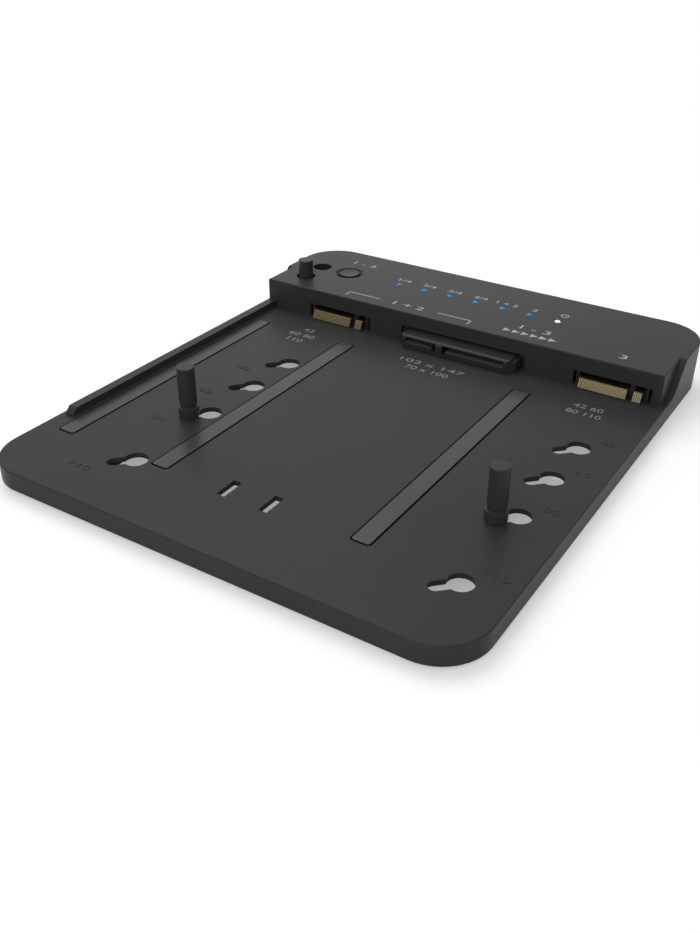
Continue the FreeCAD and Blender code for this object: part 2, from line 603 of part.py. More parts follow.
def m2_housing(x):
    """Card socket: a low base in front, an upper lip behind it, side cheeks and a key."""
    front = FACE_Y - M2_OVERHANG
    back = front + M2_DEPTH
    lip_y = front + M2_LIP_BACK
    half = M2_BODY_W / 2
    low = PLATE_Z + M2_SLOT_PLAY
    card_z = PLATE_Z + CARD_Z
    base_z = card_z - M2_CONTACT_T
    roof_z = PLATE_Z + M2_WINDOW_H - M2_SLOT_PLAY
    span = M2_POSITIONS * M2_CONTACT_PITCH
    cheek = (M2_BODY_W - span) / 2 - M2_CONTACT_PITCH
    behind = front + M2_CONTACT_T
    base = prism([(x - span / 2, behind, low), (x - span / 2, behind + M2_CONTACT_LEAN, base_z),
                  (x - span / 2, back, base_z), (x - span / 2, back, low)], V(span, 0, 0))
    roof = block(x - half, x + half, lip_y, back, card_z + CARD_T + M2_SLOT_PLAY, roof_z)
    rear = block(x - half, x + half, CARD_END_Y + M2_SLOT_PLAY, back, low, roof_z)
    cheeks = [block(min(x + s * half, x + s * (half - cheek)), max(x + s * half, x + s * (half - cheek)),
                    lip_y - M2_CONTACT_PITCH, back, low, roof_z) for s in (-1, 1)]
    webs = [block(min(x + s * half, x + s * span / 2), max(x + s * half, x + s * span / 2),
                  lip_y, back, low, base_z) for s in (-1, 1)]
    key_x0 = x + (M2_KEY[0] - M2_POSITIONS / 2 + 0.5) * M2_CONTACT_PITCH
    key = block(key_x0, key_x0 + 3 * M2_CONTACT_PITCH, lip_y, back, base_z - 1, roof_z - 0.1)
    pads = block(x - half, x + half, BOARD_Y0, back, BOARD_TOP, low)
    gap = block(key_x0, key_x0 + 3 * M2_CONTACT_PITCH, front, lip_y - M2_CONTACT_PITCH, low - 1, base_z + 1)
    return cut(join([base, roof, rear, key, pads] + cheeks + webs), [gap])


def m2_contacts(x):
    """Sprung contacts of a card socket, one strip bent over the base for each position."""
    front = FACE_Y - M2_OVERHANG
    low, top = PLATE_Z + 2 * M2_SLOT_PLAY, PLATE_Z + CARD_Z
    bend = M2_CONTACT_T * 1.5
    head = front + M2_CONTACT_LEAN
    strips = []
    for i in range(M2_POSITIONS):
        if i in M2_KEY:
            continue
        x0 = x + (i - (M2_POSITIONS - 1) / 2) * M2_CONTACT_PITCH - M2_CONTACT_W / 2
        points = [(x0, front, low), (x0, head, top - bend), (x0, head + bend, top),
                  (x0, front + M2_CONTACT_RUN, top), (x0, front + M2_CONTACT_RUN, top - M2_CONTACT_T),
                  (x0, head + M2_CONTACT_T, top - M2_CONTACT_T), (x0, front + M2_CONTACT_T, low)]
        strips.append(prism(points, V(M2_CONTACT_W, 0, 0)))
    return group(strips)


def sata_mouths():
    """Width and middle of the data mouth and of the power mouth, and the side of each one's key."""
    total = SATA_DATA_W + SATA_WALL_W + SATA_POWER_W
    left = SATA_X - total / 2
    return ((left + SATA_DATA_W / 2, SATA_DATA_W, 1),
            (left + total - SATA_POWER_W / 2, SATA_POWER_W, -1))


def sata_receptacle():
    """Drive socket: one bar with two L-shaped mouths, sloped guide ears and a rear flange."""
    low = PLATE_Z + SATA_LIFT
    top = low + SATA_H
    front = FACE_Y - SATA_PROUD
    back = front + SATA_DEPTH
    half = SATA_BODY_W / 2
    body = block(SATA_X - half, SATA_X + half, front, back, low, top)
    edge = [e for e in body.Edges if min(v.Z for v in e.Vertexes) > low + 1
            and max(v.Y for v in e.Vertexes) < front + 1]
    body = body.makeFillet(SATA_NOSE_R, edge)
    ears = []
    for side in (-1, 1):
        inner, outer = SATA_X + side * half, SATA_X + side * (half + SATA_EAR_W)
        ears.append(prism([(inner, front + SATA_EAR_BACK - SATA_EAR_W, low),
                           (outer, front + SATA_EAR_BACK, low), (outer, back, low),
                           (inner - side, back, low), (inner - side, front + SATA_EAR_BACK, low)],
                          V(0, 0, SATA_H - SATA_EAR_DROP)))
    reach = SATA_WINDOW_W / 2 + 0.8
    flange = block(SATA_X - reach, SATA_X + reach, CAVITY_Y + PORT_PLAY,
                   CAVITY_Y + PORT_PLAY + SATA_FLANGE_T, BOARD_TOP, PLATE_Z + SATA_WINDOW_H + 0.6)
    pad = block(SATA_X - half, SATA_X + half, BOARD_Y0, back, BOARD_TOP, low)
    cuts = [prism([(SATA_X + side * half, front, low), (SATA_X + side * (half - SATA_CORNER), front, low),
                   (SATA_X + side * half, front + SATA_CORNER, low)], V(0, 0, SATA_H)) for side in (-1, 1)]
    for middle, width, key_side in sata_mouths():
        z1 = top - SATA_ROOF_T
        z0 = z1 - SATA_SLOT_H
        x0, x1 = middle - width / 2, middle + width / 2
        cuts.append(block(x0, x1, front - 1, front + SATA_MOUTH_DEPTH, z0, z1))
        key_x = x1 - SATA_KEY_W if key_side > 0 else x0
        cuts.append(block(key_x, key_x + SATA_KEY_W, front - 1, front + SATA_MOUTH_DEPTH,
                          z0 - SATA_KEY_H, z1))
        lead = [(x0, front, z0), (x0, front + SATA_LEAD, z0), (x0, front, z0 - SATA_LEAD)]
        cuts.append(prism(lead, V(width, 0, 0)))
    return cut(join([body, flange, pad] + ears), cuts)


def sata_contacts():
    """Contacts on the floor of the two mouths, seven for data and fifteen for power."""
    floor = PLATE_Z + SATA_LIFT + SATA_H - SATA_ROOF_T - SATA_SLOT_H
    front = FACE_Y - SATA_PROUD
    strips = []
    for (middle, _, key_side), count in zip(sata_mouths(), (SATA_DATA_COUNT, SATA_POWER_COUNT)):
        centre = middle - key_side * SATA_KEY_W / 2
        for i in range(count):
            x = centre + (i - (count - 1) / 2) * SATA_PITCH
            strips.append(block(x - SATA_PIN_W / 2, x + SATA_PIN_W / 2, front + SATA_PIN_BACK,
                                front + SATA_MOUTH_DEPTH, floor, floor + SATA_PIN_T))
    return group(strips)


def board_chips():
    """Bridge chip behind each card socket and controller chip behind the drive socket."""
    chips = [(x + offset, BRIDGE_CHIP_W) for x, offset in zip(CARD_XS, BRIDGE_CHIP_OFFSETS)]
    chips.append((SATA_X + CONTROLLER_CHIP_OFFSET, CONTROLLER_CHIP_W))
    return group(block(x - w / 2, x + w / 2, CHIP_Y - w / 4, CHIP_Y + w / 4, BOARD_TOP, BOARD_TOP + CHIP_T)
                 for x, w in chips)


def board_capacitors():
    """Upright aluminium capacitors of the supply."""
    y = BOARD_Y1 - CAN_FROM_BOARD_REAR
    half = CAN_BASE_W / 2
    return group(join([block(x - half, x + half, y - half, y + half, BOARD_TOP, BOARD_TOP + CAN_BASE_T),
                       rod(x, y, BOARD_TOP, BOARD_TOP + CAN_H, CAN_R)])
                 for x in [SUPPLY_X + SUPPLY_PITCH * i for i in range(CAN_COUNT)])


def board_coils():
    """Square power coils of the supply."""
    y = BOARD_Y1 - COIL_FROM_BOARD_REAR
    return group(round_block(x - COIL_W / 2, x + COIL_W / 2, y - COIL_D / 2, y + COIL_D / 2, BOARD_TOP,
                             BOARD_TOP + COIL_H, COIL_R)
                 for x in [SUPPLY_X + SUPPLY_PITCH * i for i in range(COIL_COUNT)])


def board_crystals():
    """Crystal cans beside the chips."""
    spots = [x + offset + BRIDGE_CHIP_W / 2 for x, offset in zip(CARD_XS, BRIDGE_CHIP_OFFSETS)]
    spots.append(SATA_X + CONTROLLER_CHIP_OFFSET + CONTROLLER_CHIP_W / 2)
    return group(round_block(x, x + CRYSTAL_W, CHIP_Y - CRYSTAL_D / 2, CHIP_Y + CRYSTAL_D / 2, BOARD_TOP,
                             BOARD_TOP + CRYSTAL_T, CRYSTAL_R) for x in [s + CRYSTAL_GAP for s in spots])


# ---- lights ---------------------------------------------------------------------------------------
def light_pipes(xs):
    """Clear pipes from the board's lights to the header's top, joined by a bar under the shell."""
    bar_top = CEILING_Z - PIPE_PLAY
    low = BOARD_TOP + LED_H + PIPE_PLAY * 2
    pipes = [rod(x, LED_Y, low, HEADER_Z, PIPE_R) for x in xs]
    bar = block(xs[0] - PIPE_BAR_W / 2, xs[-1] + PIPE_BAR_W / 2, LED_Y - PIPE_BAR_W / 2,
                LED_Y + PIPE_BAR_W / 2, bar_top - PIPE_BAR_T, bar_top)
    return join(pipes + [bar])


def board_leds():
    """Light-emitting chips under the pipes."""
    return group(block(x - LED_L / 2, x + LED_L / 2, LED_Y - LED_W / 2, LED_Y + LED_W / 2,
                       BOARD_TOP, BOARD_TOP + LED_H) for x in LED_XS)


# ---- start button -----------------------------------------------------------------------------------
def start_button():
    """Round key in the header's top, with a flange that keeps it in."""
    flange_top = CEILING_Z - PIPE_PLAY * 2
    flange_low = flange_top - BUTTON_FLANGE_T
    crown = BUTTON_CROWN
    low = BOARD_TOP + KEY_BODY_H + BUTTON_TRAVEL + PLUNGER_PLAY
    return turned([(0, low), (BUTTON_STEM_R, low), (BUTTON_STEM_R, flange_low),
                   (BUTTON_FLANGE_R, flange_low), (BUTTON_FLANGE_R, flange_top),
                   (BUTTON_R, flange_top), (BUTTON_R, HEADER_Z - crown),
                   (BUTTON_R - crown, HEADER_Z), (0, HEADER_Z)], BUTTON_X, BUTTON_Y)


def start_switch_body():
    """Square switch body with a well for its plunger."""
    half = KEY_BODY / 2
    body = block(BUTTON_X - half, BUTTON_X + half, BUTTON_Y - half, BUTTON_Y + half,
                 BOARD_TOP, BOARD_TOP + KEY_BODY_H)
    return cut(body, [rod(BUTTON_X, BUTTON_Y, BOARD_TOP + 1, BOARD_TOP + KEY_BODY_H + 1,
                          PLUNGER_R + PLUNGER_PLAY)])


def start_switch_plunger():
    """Plunger that the button pushes down."""
    low = BOARD_TOP + 1 + BUTTON_TRAVEL + PLUNGER_PLAY
    high = BOARD_TOP + KEY_BODY_H + BUTTON_TRAVEL + PLUNGER_PLAY
    return rod(BUTTON_X, BUTTON_Y, low, high, PLUNGER_R)


# ---- rear ports ---------------------------------------------------------------------------------------
def power_switch_body():
    """Push-push switch on the board, behind the power button."""
    half = POWER_BODY / 2
    body = block(POWER_X - half, POWER_X + half, POWER_BODY_Y - POWER_BODY_DEPTH, POWER_BODY_Y,
                 BOARD_TOP, BOARD_TOP + POWER_BODY)
    return cut(body, [rear_rod(POWER_X, POWER_AXIS_Z, POWER_BODY_Y - POWER_BODY_DEPTH / 2,
                               POWER_BODY_Y + 1, PLUNGER_R + PLUNGER_PLAY)])


def power_switch_plunger():
    """Plunger of the power switch."""
    return rear_rod(POWER_X, POWER_AXIS_Z, POWER_BODY_Y - POWER_BODY_DEPTH / 2 + POWER_TRAVEL
                    + PLUNGER_PLAY, POWER_COLLAR_Y, PLUNGER_R)


def power_button():
    """Round power button in the rear wall, with a collar that keeps it in."""
    collar = rear_rod(POWER_X, POWER_AXIS_Z, POWER_COLLAR_Y, POWER_COLLAR_Y + POWER_COLLAR_T,
                      POWER_COLLAR_R)
    cap = rear_rod(POWER_X, POWER_AXIS_Z, POWER_COLLAR_Y, REAR_Y, POWER_CAP_R)
    crown = [e for e in cap.Edges if e.Closed and abs(e.Vertexes[0].Y - REAR_Y) < EDGE_R]
    return join([collar, cap.makeFillet(EDGE_R, crown)])


def dc_jack_body():
    """Low barrel jack let into the board, its round nose flush with the rear wall."""
    wall = REAR_Y - SKIRT_T - PORT_PLAY
    body = block(JACK_X - JACK_W / 2, JACK_X + JACK_W / 2, REAR_Y - JACK_DEPTH, wall,
                 JACK_Z - JACK_H / 2, JACK_Z + JACK_H / 2)
    nose = rear_rod(JACK_X, JACK_Z, wall - 1, REAR_Y, JACK_NOSE_R)
    return cut(join([body, nose]),
               [rear_rod(JACK_X, JACK_Z, REAR_Y - JACK_BORE_DEPTH, REAR_Y + 1, JACK_BORE_R)])


def dc_jack_pin():
    """Centre contact of the barrel jack."""
    return rear_rod(JACK_X, JACK_Z, REAR_Y - JACK_BORE_DEPTH, REAR_Y - JACK_PIN_BACK, JACK_PIN_R)


def usb_shell():
    """Drawn metal shell of the USB socket, closed at its inner end."""
    y0 = REAR_Y - USB_DISH_DEPTH - USB_DEPTH
    y1 = REAR_Y - USB_DISH_DEPTH
    outer = stadium(USB_X, USB_Z, USB_W, USB_H, y0, y1)
    return cut(outer, [stadium(USB_X, USB_Z, USB_W - 2 * USB_WALL, USB_H - 2 * USB_WALL,
                               y0 + USB_WALL, y1 + 1)])


def usb_tongue():
    """Contact tongue inside the USB shell with its wider root."""
    y0 = REAR_Y - USB_DISH_DEPTH - USB_DEPTH + USB_WALL
    y1 = REAR_Y - USB_DISH_DEPTH - USB_TONGUE_BACK
    root = stadium(USB_X, USB_Z, USB_W - 2 * USB_WALL - 0.1, USB_H - 2 * USB_WALL - 0.1, y0, y0 + 1.2)
    blade = block(USB_X - USB_TONGUE_W / 2, USB_X + USB_TONGUE_W / 2, y0, y1,
                  USB_Z - USB_TONGUE_T / 2, USB_Z + USB_TONGUE_T / 2)
    return join([root, blade])


# ---- all pieces -----------------------------------------------------------------------------------------
def pieces():
    """Every node's name and solid, in the order of assembly."""
    card_y = CARD_END_Y - CARD_IN_USE
    made = {"top_shell": top_shell(), "bottom_cover": bottom_cover(), "cover_screws": cover_screws(),
            "rubber_feet": rubber_feet(), "main_board": main_board(), "board_screws": board_screws()}
    for side, x in zip(("left", "right"), CARD_XS):
        made[side + "_card_socket"] = m2_housing(x)
        made[side + "_card_contacts"] = m2_contacts(x)
        made[side + "_card_pin"] = card_pin(x, card_y, 0)
    made["spare_card_pin"] = card_pin(WELL_X, WELL_YS[0], PIN_STORED_DROP)
    made["drive_socket"] = sata_receptacle()
    made["drive_contacts"] = sata_contacts()
    for name, offset in zip(("left", "middle", "right"), STRIP_OFFSETS):
        low = PLATE_Z + STRIP_PROUD - STRIP_T
        made[name + "_rubber_strip"] = strip_block(offset, 0, low, PLATE_Z + STRIP_PROUD)
    made["blue_light_pipes"] = light_pipes(LED_XS[:-1])
    made["white_light_pipe"] = light_pipes(LED_XS[-1:])
    made["board_leds"] = board_leds()
    made["start_button"] = start_button()
    made["start_switch_body"] = start_switch_body()
    made["start_switch_plunger"] = start_switch_plunger()
    made["power_button"] = power_button()
    made["power_switch_body"] = power_switch_body()
    made["power_switch_plunger"] = power_switch_plunger()
    made["dc_jack_body"] = dc_jack_body()
    made["dc_jack_pin"] = dc_jack_pin()
    made["usb_shell"] = usb_shell()
    made["usb_tongue"] = usb_tongue()
    made["board_chips"] = board_chips()
    made["board_capacitors"] = board_capacitors()
    made["board_coils"] = board_coils()
    made["board_crystals"] = board_crystals()
    return made


os.makedirs("parts", exist_ok=True)
for node, shape in pieces().items():
    shape.exportStep("parts/" + node + ".step")
    box = shape.BoundBox
    print("%-22s solids %2d  x %7.2f %7.2f  y %7.2f %7.2f  z %6.2f %6.2f" % (
        node, len(shape.Solids), box.XMin, box.XMax, box.YMin, box.YMax, box.ZMin, box.ZMax))
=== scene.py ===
"""Looks of a bench dock that copies one drive onto another.

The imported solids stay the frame. This script gives each of them its finish, puts rounder and finer
pieces in the place of those that show, prints the numbers on the shell and sets the table, the lamps
and the camera. Lengths are in metres, in the frame's own axes.
"""

import logging
import math
from collections.abc import Callable, Iterable, Sequence
from dataclasses import dataclass
from enum import Enum

import bmesh
import bpy
from mathutils import Matrix, Vector


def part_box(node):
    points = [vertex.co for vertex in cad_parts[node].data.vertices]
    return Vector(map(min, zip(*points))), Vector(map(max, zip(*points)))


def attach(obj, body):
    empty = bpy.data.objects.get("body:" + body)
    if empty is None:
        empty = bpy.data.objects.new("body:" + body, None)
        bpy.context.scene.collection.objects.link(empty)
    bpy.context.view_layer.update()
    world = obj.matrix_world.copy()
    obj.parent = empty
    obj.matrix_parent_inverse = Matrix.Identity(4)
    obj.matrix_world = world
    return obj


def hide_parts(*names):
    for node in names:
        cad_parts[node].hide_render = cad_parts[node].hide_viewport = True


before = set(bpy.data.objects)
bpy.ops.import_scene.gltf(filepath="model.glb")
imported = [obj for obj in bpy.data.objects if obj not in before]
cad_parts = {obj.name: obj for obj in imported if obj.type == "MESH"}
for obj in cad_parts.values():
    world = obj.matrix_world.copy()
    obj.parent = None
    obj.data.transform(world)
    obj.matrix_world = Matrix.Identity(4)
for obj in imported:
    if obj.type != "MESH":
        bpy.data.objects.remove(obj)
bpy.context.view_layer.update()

MM = 0.001
SAME_POINT = 0.001 * MM
Piece = bpy.types.Object
Triple = tuple[float, float, float]
Ring = tuple[float, float]
log = logging.getLogger("dock")


class Body(Enum):
    """Bodies of the dock that pieces ride on."""

    HOUSING = "housing"
    LEFT_PIN = "left_pin"
    RIGHT_PIN = "right_pin"
    SPARE_PIN = "spare_pin"
    START_KEY = "start_key"
    POWER_KEY = "power_key"


class Facing(Enum):
    """Turn of a piece that was made upright, as Euler angles."""

    UP = (0.0, 0.0, 0.0)
    DOWN = (math.pi, 0.0, 0.0)
    REAR = (-math.pi / 2, 0.0, 0.0)


class Bench:
    """Modelling moves that every sub-assembly uses."""

    @staticmethod
    def clear() -> None:
        """Leave edit mode and select nothing."""
        active = bpy.context.view_layer.objects.active
        if active is not None and active.mode != "OBJECT":
            bpy.ops.object.mode_set(mode="OBJECT")
        bpy.ops.object.select_all(action="DESELECT")

    @staticmethod
    def take(piece: Piece) -> None:
        """Make one piece the only selected and the active one."""
        Bench.clear()
        piece.select_set(True)
        bpy.context.view_layer.objects.active = piece

    @staticmethod
    def edit(piece: Piece, select: bool = True) -> None:
        """Open a piece in edit mode with all of it selected, or none."""
        Bench.take(piece)
        bpy.ops.object.mode_set(mode="EDIT")
        bpy.ops.mesh.select_all(action="SELECT" if select else "DESELECT")

    @staticmethod
    def named(name: str) -> Piece:
        """Name the primitive that was just added."""
        piece = bpy.context.view_layer.objects.active
        piece.name = name
        piece.data.name = name
        return piece

    @staticmethod
    def pick_faces(piece: Piece, wanted: Callable[[bmesh.types.BMFace], bool]) -> None:
        """Select the faces of the piece in edit mode that pass a test, and no others."""
        bpy.context.tool_settings.mesh_select_mode = (False, False, True)
        mesh = bmesh.from_edit_mesh(piece.data)
        for face in mesh.faces:
            face.select_set(wanted(face))
        bmesh.update_edit_mesh(piece.data)

    @staticmethod
    def finish_faces(piece: Piece, wanted: Callable[[bmesh.types.BMFace], bool]) -> None:
        """Give the faces of a dressed piece that pass a test its second finish."""
        Bench.edit(piece, False)
        Bench.pick_faces(piece, wanted)
        piece.active_material_index = 1
        bpy.ops.object.material_slot_assign()
        bpy.ops.object.mode_set(mode="OBJECT")

    @staticmethod
    def lathe(name: str, rings: Sequence[Ring], sides: int = 64) -> Piece:
        """Raise a filled circle ring by ring into a turned solid on the origin.

        Args:
            name: The piece's name.
            rings: Radius and height of each ring, from the lowest.
            sides: Faces round each ring.

        Returns:
            The closed solid.
        """
        Bench.clear()
        radius, height = rings[0]
        bpy.ops.mesh.primitive_circle_add(vertices=sides, radius=radius, fill_type="NGON")
        piece = Bench.named(name)
        Bench.edit(piece)
        bpy.ops.transform.translate(value=(0, 0, height))
        for wide, high in rings[1:]:
            rise = {"value": (0, 0, high - height)}
            bpy.ops.mesh.extrude_region_move(TRANSFORM_OT_translate=rise)
            scale = wide / radius
            bpy.ops.transform.resize(value=(scale, scale, 1), center_override=(0, 0, high))
            radius, height = wide, high
        Bench.face_out()
        return piece

    @staticmethod
    def block(name: str, low: Triple, high: Triple) -> Piece:
        """Add a box between two corners, to be shaped further."""
        Bench.clear()
        bpy.ops.mesh.primitive_cube_add(size=1)
        piece = Bench.named(name)
        piece.location = (Vector(low) + Vector(high)) / 2
        piece.scale = Vector(high) - Vector(low)
        Bench.settle(piece)
        return piece

    @staticmethod
    def face_out() -> None:
        """Turn the selected mesh's faces outwards and leave edit mode."""
        bpy.ops.mesh.select_all(action="SELECT")
        bpy.ops.mesh.normals_make_consistent(inside=False)
        bpy.ops.object.mode_set(mode="OBJECT")

    @staticmethod
    def settle(piece: Piece) -> None:
        """Put a piece's place, turn and size into its mesh."""
        Bench.take(piece)
        bpy.ops.object.transform_apply(location=True, rotation=True, scale=True)

    @staticmethod
    def place(piece: Piece, at: Sequence[float], facing: Facing = Facing.UP) -> Piece:
        """Move a piece made on the origin to its place."""
        piece.location = Vector(at)
        piece.rotation_euler = facing.value
        Bench.settle(piece)
        return piece

    @staticmethod
    def soften(piece: Piece, width: float, segments: int = 2, sharper_than: float = 35.0) -> None:
        """Round a piece's sharp edges and apply the rounding.

        Args:
            piece: The piece.
            width: Width of the rounding.
            segments: Steps in it.
            sharper_than: Angle in degrees from which an edge counts as sharp.
        """
        bevel = piece.modifiers.new("edge", "BEVEL")
        bevel.width = width
        bevel.segments = segments
        bevel.limit_method = "ANGLE"
        bevel.angle_limit = math.radians(sharper_than)
        bevel.miter_outer = "MITER_ARC"
        Bench.take(piece)
        bpy.ops.object.modifier_apply(modifier=bevel.name)

    @staticmethod
    def smooth(piece: Piece, angle: float = 32.0) -> Piece:
        """Shade a piece smooth, apart from edges sharper than an angle in degrees, with flats kept flat."""
        Bench.take(piece)
        bpy.ops.object.shade_smooth_by_angle(angle=math.radians(angle))
        weighted = piece.modifiers.new("flats", "WEIGHTED_NORMAL")
        weighted.mode = "FACE_AREA"
        weighted.weight = 100
        weighted.keep_sharp = True
        bpy.ops.object.modifier_apply(modifier=weighted.name)
        return piece

    @staticmethod
    def copy_node(name: str, node: str) -> Piece:
        """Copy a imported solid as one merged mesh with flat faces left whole."""
        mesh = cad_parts[node].data.copy()
        mesh.materials.clear()
        piece = bpy.data.objects.new(name, mesh)
        bpy.context.scene.collection.objects.link(piece)
        Bench.edit(piece)
        bpy.ops.mesh.remove_doubles(threshold=SAME_POINT)
        bpy.ops.mesh.customdata_custom_splitnormals_clear()
        bpy.ops.mesh.dissolve_limited(angle_limit=math.radians(0.3))
        bpy.ops.object.mode_set(mode="OBJECT")
        return piece

    @staticmethod
    def cut(piece: Piece, tool: Piece, operation: str = "DIFFERENCE") -> None:
        """Combine a piece with a tool and remove the tool."""
        boolean = piece.modifiers.new("cut", "BOOLEAN")
        boolean.object = tool
        boolean.operation = operation
        boolean.solver = "EXACT"
        Bench.take(piece)
        bpy.ops.object.modifier_apply(modifier=boolean.name)
        bpy.data.objects.remove(tool)

    @staticmethod
    def join(name: str, pieces: Iterable[Piece]) -> Piece:
        """Make one piece out of several."""
        pieces = list(pieces)
        Bench.take(pieces[0])
        for piece in pieces[1:]:
            piece.select_set(True)
        bpy.ops.object.join()
        return Bench.named(name)

    @staticmethod
    def repeat(piece: Piece, places: Sequence[Sequence[float]]) -> Piece:
        """Copy a piece to several places and make one piece of the copies.

        Args:
            piece: The piece to copy, made on the origin. It becomes the first copy.
            places: Where each copy goes.

        Returns:
            The joined copies under the piece's own name.
        """
        copies = [piece]
        for _ in places[1:]:
            twin = piece.copy()
            twin.data = piece.data.copy()
            bpy.context.scene.collection.objects.link(twin)
            copies.append(twin)
        for copy, at in zip(copies, places):
            copy.location = Vector(at)
        name = piece.name
        joined = Bench.join(name, copies)
        Bench.settle(joined)
        return joined

    @staticmethod
    def solids(node: str) -> list[tuple[Vector, Vector]]:
        """Find the separate solids of a node.

        Args:
            node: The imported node.

        Returns:
            Lowest and highest corner of each solid, from left to right and front to rear.
        """
        mesh = bmesh.new()
        mesh.from_mesh(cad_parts[node].data)
        bmesh.ops.remove_doubles(mesh, verts=mesh.verts, dist=SAME_POINT)
        waiting = set(mesh.verts)
        boxes = []
        while waiting:
            edge = [waiting.pop()]
            members = []
            while edge:
                vertex = edge.pop()
                members.append(vertex.co.copy())
                near = {e.other_vert(vertex) for e in vertex.link_edges} & waiting
                waiting -= near
                edge.extend(near)
            boxes.append((Vector(map(min, *members)), Vector(map(max, *members))))
        mesh.free()
        return sorted(boxes, key=lambda box: (round(box[0].x, 5), round(box[0].y, 5)))


def middle(box: tuple[Vector, Vector]) -> Vector:
    """Middle of a box between two corners."""
    return (box[0] + box[1]) / 2


def stands_for(piece: Piece, node: str, body: Body) -> Piece:
    """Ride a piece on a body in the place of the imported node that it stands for.

    Args:
        piece: The finished piece.
        node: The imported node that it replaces.
        body: The body that it moves with.

    Returns:
        The piece.
    """
    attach(piece, body.value)
    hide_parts(node)
    log.info("%s stands for %s on %s", piece.name, node, body.value)
    return piece


# ---- shader helpers -------------------------------------------------------------------------------
class Wire:
    """One output of a node, on which sums are written as plain Python."""

    def __init__(self, graph: "Graph", socket: bpy.types.NodeSocket) -> None:
        """Keep the graph and the socket."""
        self.graph = graph
        self.socket = socket

    def _sum(self, operation: str, first: "Wire | float", second: "Wire | float") -> "Wire":
        """Add one Math node."""
        return self.graph.node("ShaderNodeMath", {"operation": operation}, {0: first, 1: second})

    def __add__(self, other: "Wire | float") -> "Wire":
        """Sum."""
        return self._sum("ADD", self, other)

    def __rsub__(self, other: float) -> "Wire":
        """Difference from a number."""
        return self._sum("SUBTRACT", other, self)

    def __mul__(self, other: "Wire | float") -> "Wire":
        """Product."""
        return self._sum("MULTIPLY", self, other)

    def __gt__(self, other: "Wire | float") -> "Wire":
        """One where this is more, else nought."""
        return self._sum("GREATER_THAN", self, other)


Value = Wire | float | Sequence[float]


class Graph:
    """Node tree of one material or of the world."""

    def __init__(self, owner: bpy.types.Material | bpy.types.World, ending: str) -> None:
        """Empty the owner's tree and add its output node."""
        owner.use_nodes = True
        self.tree = owner.node_tree
        self.tree.nodes.clear()
        self.ending = self.tree.nodes.new(ending)

    def node(self, kind: str, settings: dict[str, object] | None = None,
             inputs: dict[int | str, Value] | None = None, out: int | str = 0) -> Wire:
        """Add a node.

        Args:
            kind: The node's type.
            settings: Its own settings, set before its sockets.
            inputs: Values or links by socket.
            out: The output that is wanted.

        Returns:
            That output.
        """
        made = self.tree.nodes.new(kind)
        for key, value in (settings or {}).items():
            setattr(made, key, value)
        for key, value in (inputs or {}).items():
            socket = made.inputs[key]
            if isinstance(value, Wire):
                self.tree.links.new(value.socket, socket)
            else:
                socket.default_value = value
        return Wire(self, made.outputs[out])

    def place(self) -> Wire:
        """Object coordinates, which are the frame's own metres."""
        return self.node("ShaderNodeTexCoord", out="Object")

    def noise(self, grain: float, detail: float = 2.0, stretch: Triple = (1, 1, 1)) -> Wire:
        """Soft noise from nought to one.

        Args:
            grain: Size of a patch in metres.
            detail: Finer layers on top.
            stretch: How much longer the patches are along each axis.

        Returns:
            The noise.
        """
        shrink = tuple(1 / side for side in stretch)
        at = self.node("ShaderNodeMapping", inputs={"Vector": self.place(), "Scale": shrink})
        sizes = {"Vector": at, "Scale": 1 / grain, "Detail": detail, "Roughness": 0.55}
        return self.node("ShaderNodeTexNoise", inputs=sizes)

    def blend(self, share: Wire | float, first: Value, second: Value) -> Wire:
        """Mix two colours."""
        return self.node("ShaderNodeMix", {"data_type": "RGBA"}, {0: share, 6: first, 7: second}, 2)

    def bump(self, height: Wire, strength: float, depth: float) -> Wire:
        """Raise the surface by a height from nought to one."""
        return self.node("ShaderNodeBump",
                         inputs={"Height": height, "Strength": strength, "Distance": depth})

    def end(self, shader: Wire) -> None:
        """Link the last shader to the output."""
        self.tree.links.new(shader.socket, self.ending.inputs["Surface"])


def grey(level: float) -> tuple[float, float, float, float]:
    """A neutral colour."""
    return (level, level, level, 1.0)


# ---- finishes -------------------------------------------------------------------------------------
@dataclass(frozen=True)
class Moulded:
    """Spark-eroded moulded plastic or rubber with a fine even grain."""

    name: str
    colour: Triple
    roughness: float
    grain: float = 0.35 * MM
    relief: float = 0.10
    depth: float = 0.02 * MM
    cloud: float = 22 * MM
    cloudiness: float = 0.14
    polish: float = 0.07
    sheen: float = 0.20
    cloud_share: float = 0.7

    def material(self) -> bpy.types.Material:
        """Build the material."""
        made = bpy.data.materials.new(self.name)
        graph = Graph(made, "ShaderNodeOutputMaterial")
        clouds = graph.noise(self.cloud, 3.0)
        grain = graph.noise(self.grain, 2.0)
        dark = tuple(c * (1 - self.cloudiness) for c in self.colour) + (1.0,)
        light = tuple(c * (1 + self.cloudiness) for c in self.colour) + (1.0,)
        colour = graph.blend(clouds * self.cloud_share + grain * (1 - self.cloud_share), dark, light)
        rough = clouds * self.polish + grain * (self.polish / 2) + (self.roughness - 0.75 * self.polish)
        shader = graph.node("ShaderNodeBsdfPrincipled", inputs={
            "Base Color": colour, "Roughness": rough, "Specular IOR Level": self.sheen,
            "Normal": graph.bump(grain, self.relief, self.depth)})
        graph.end(shader)
        return made


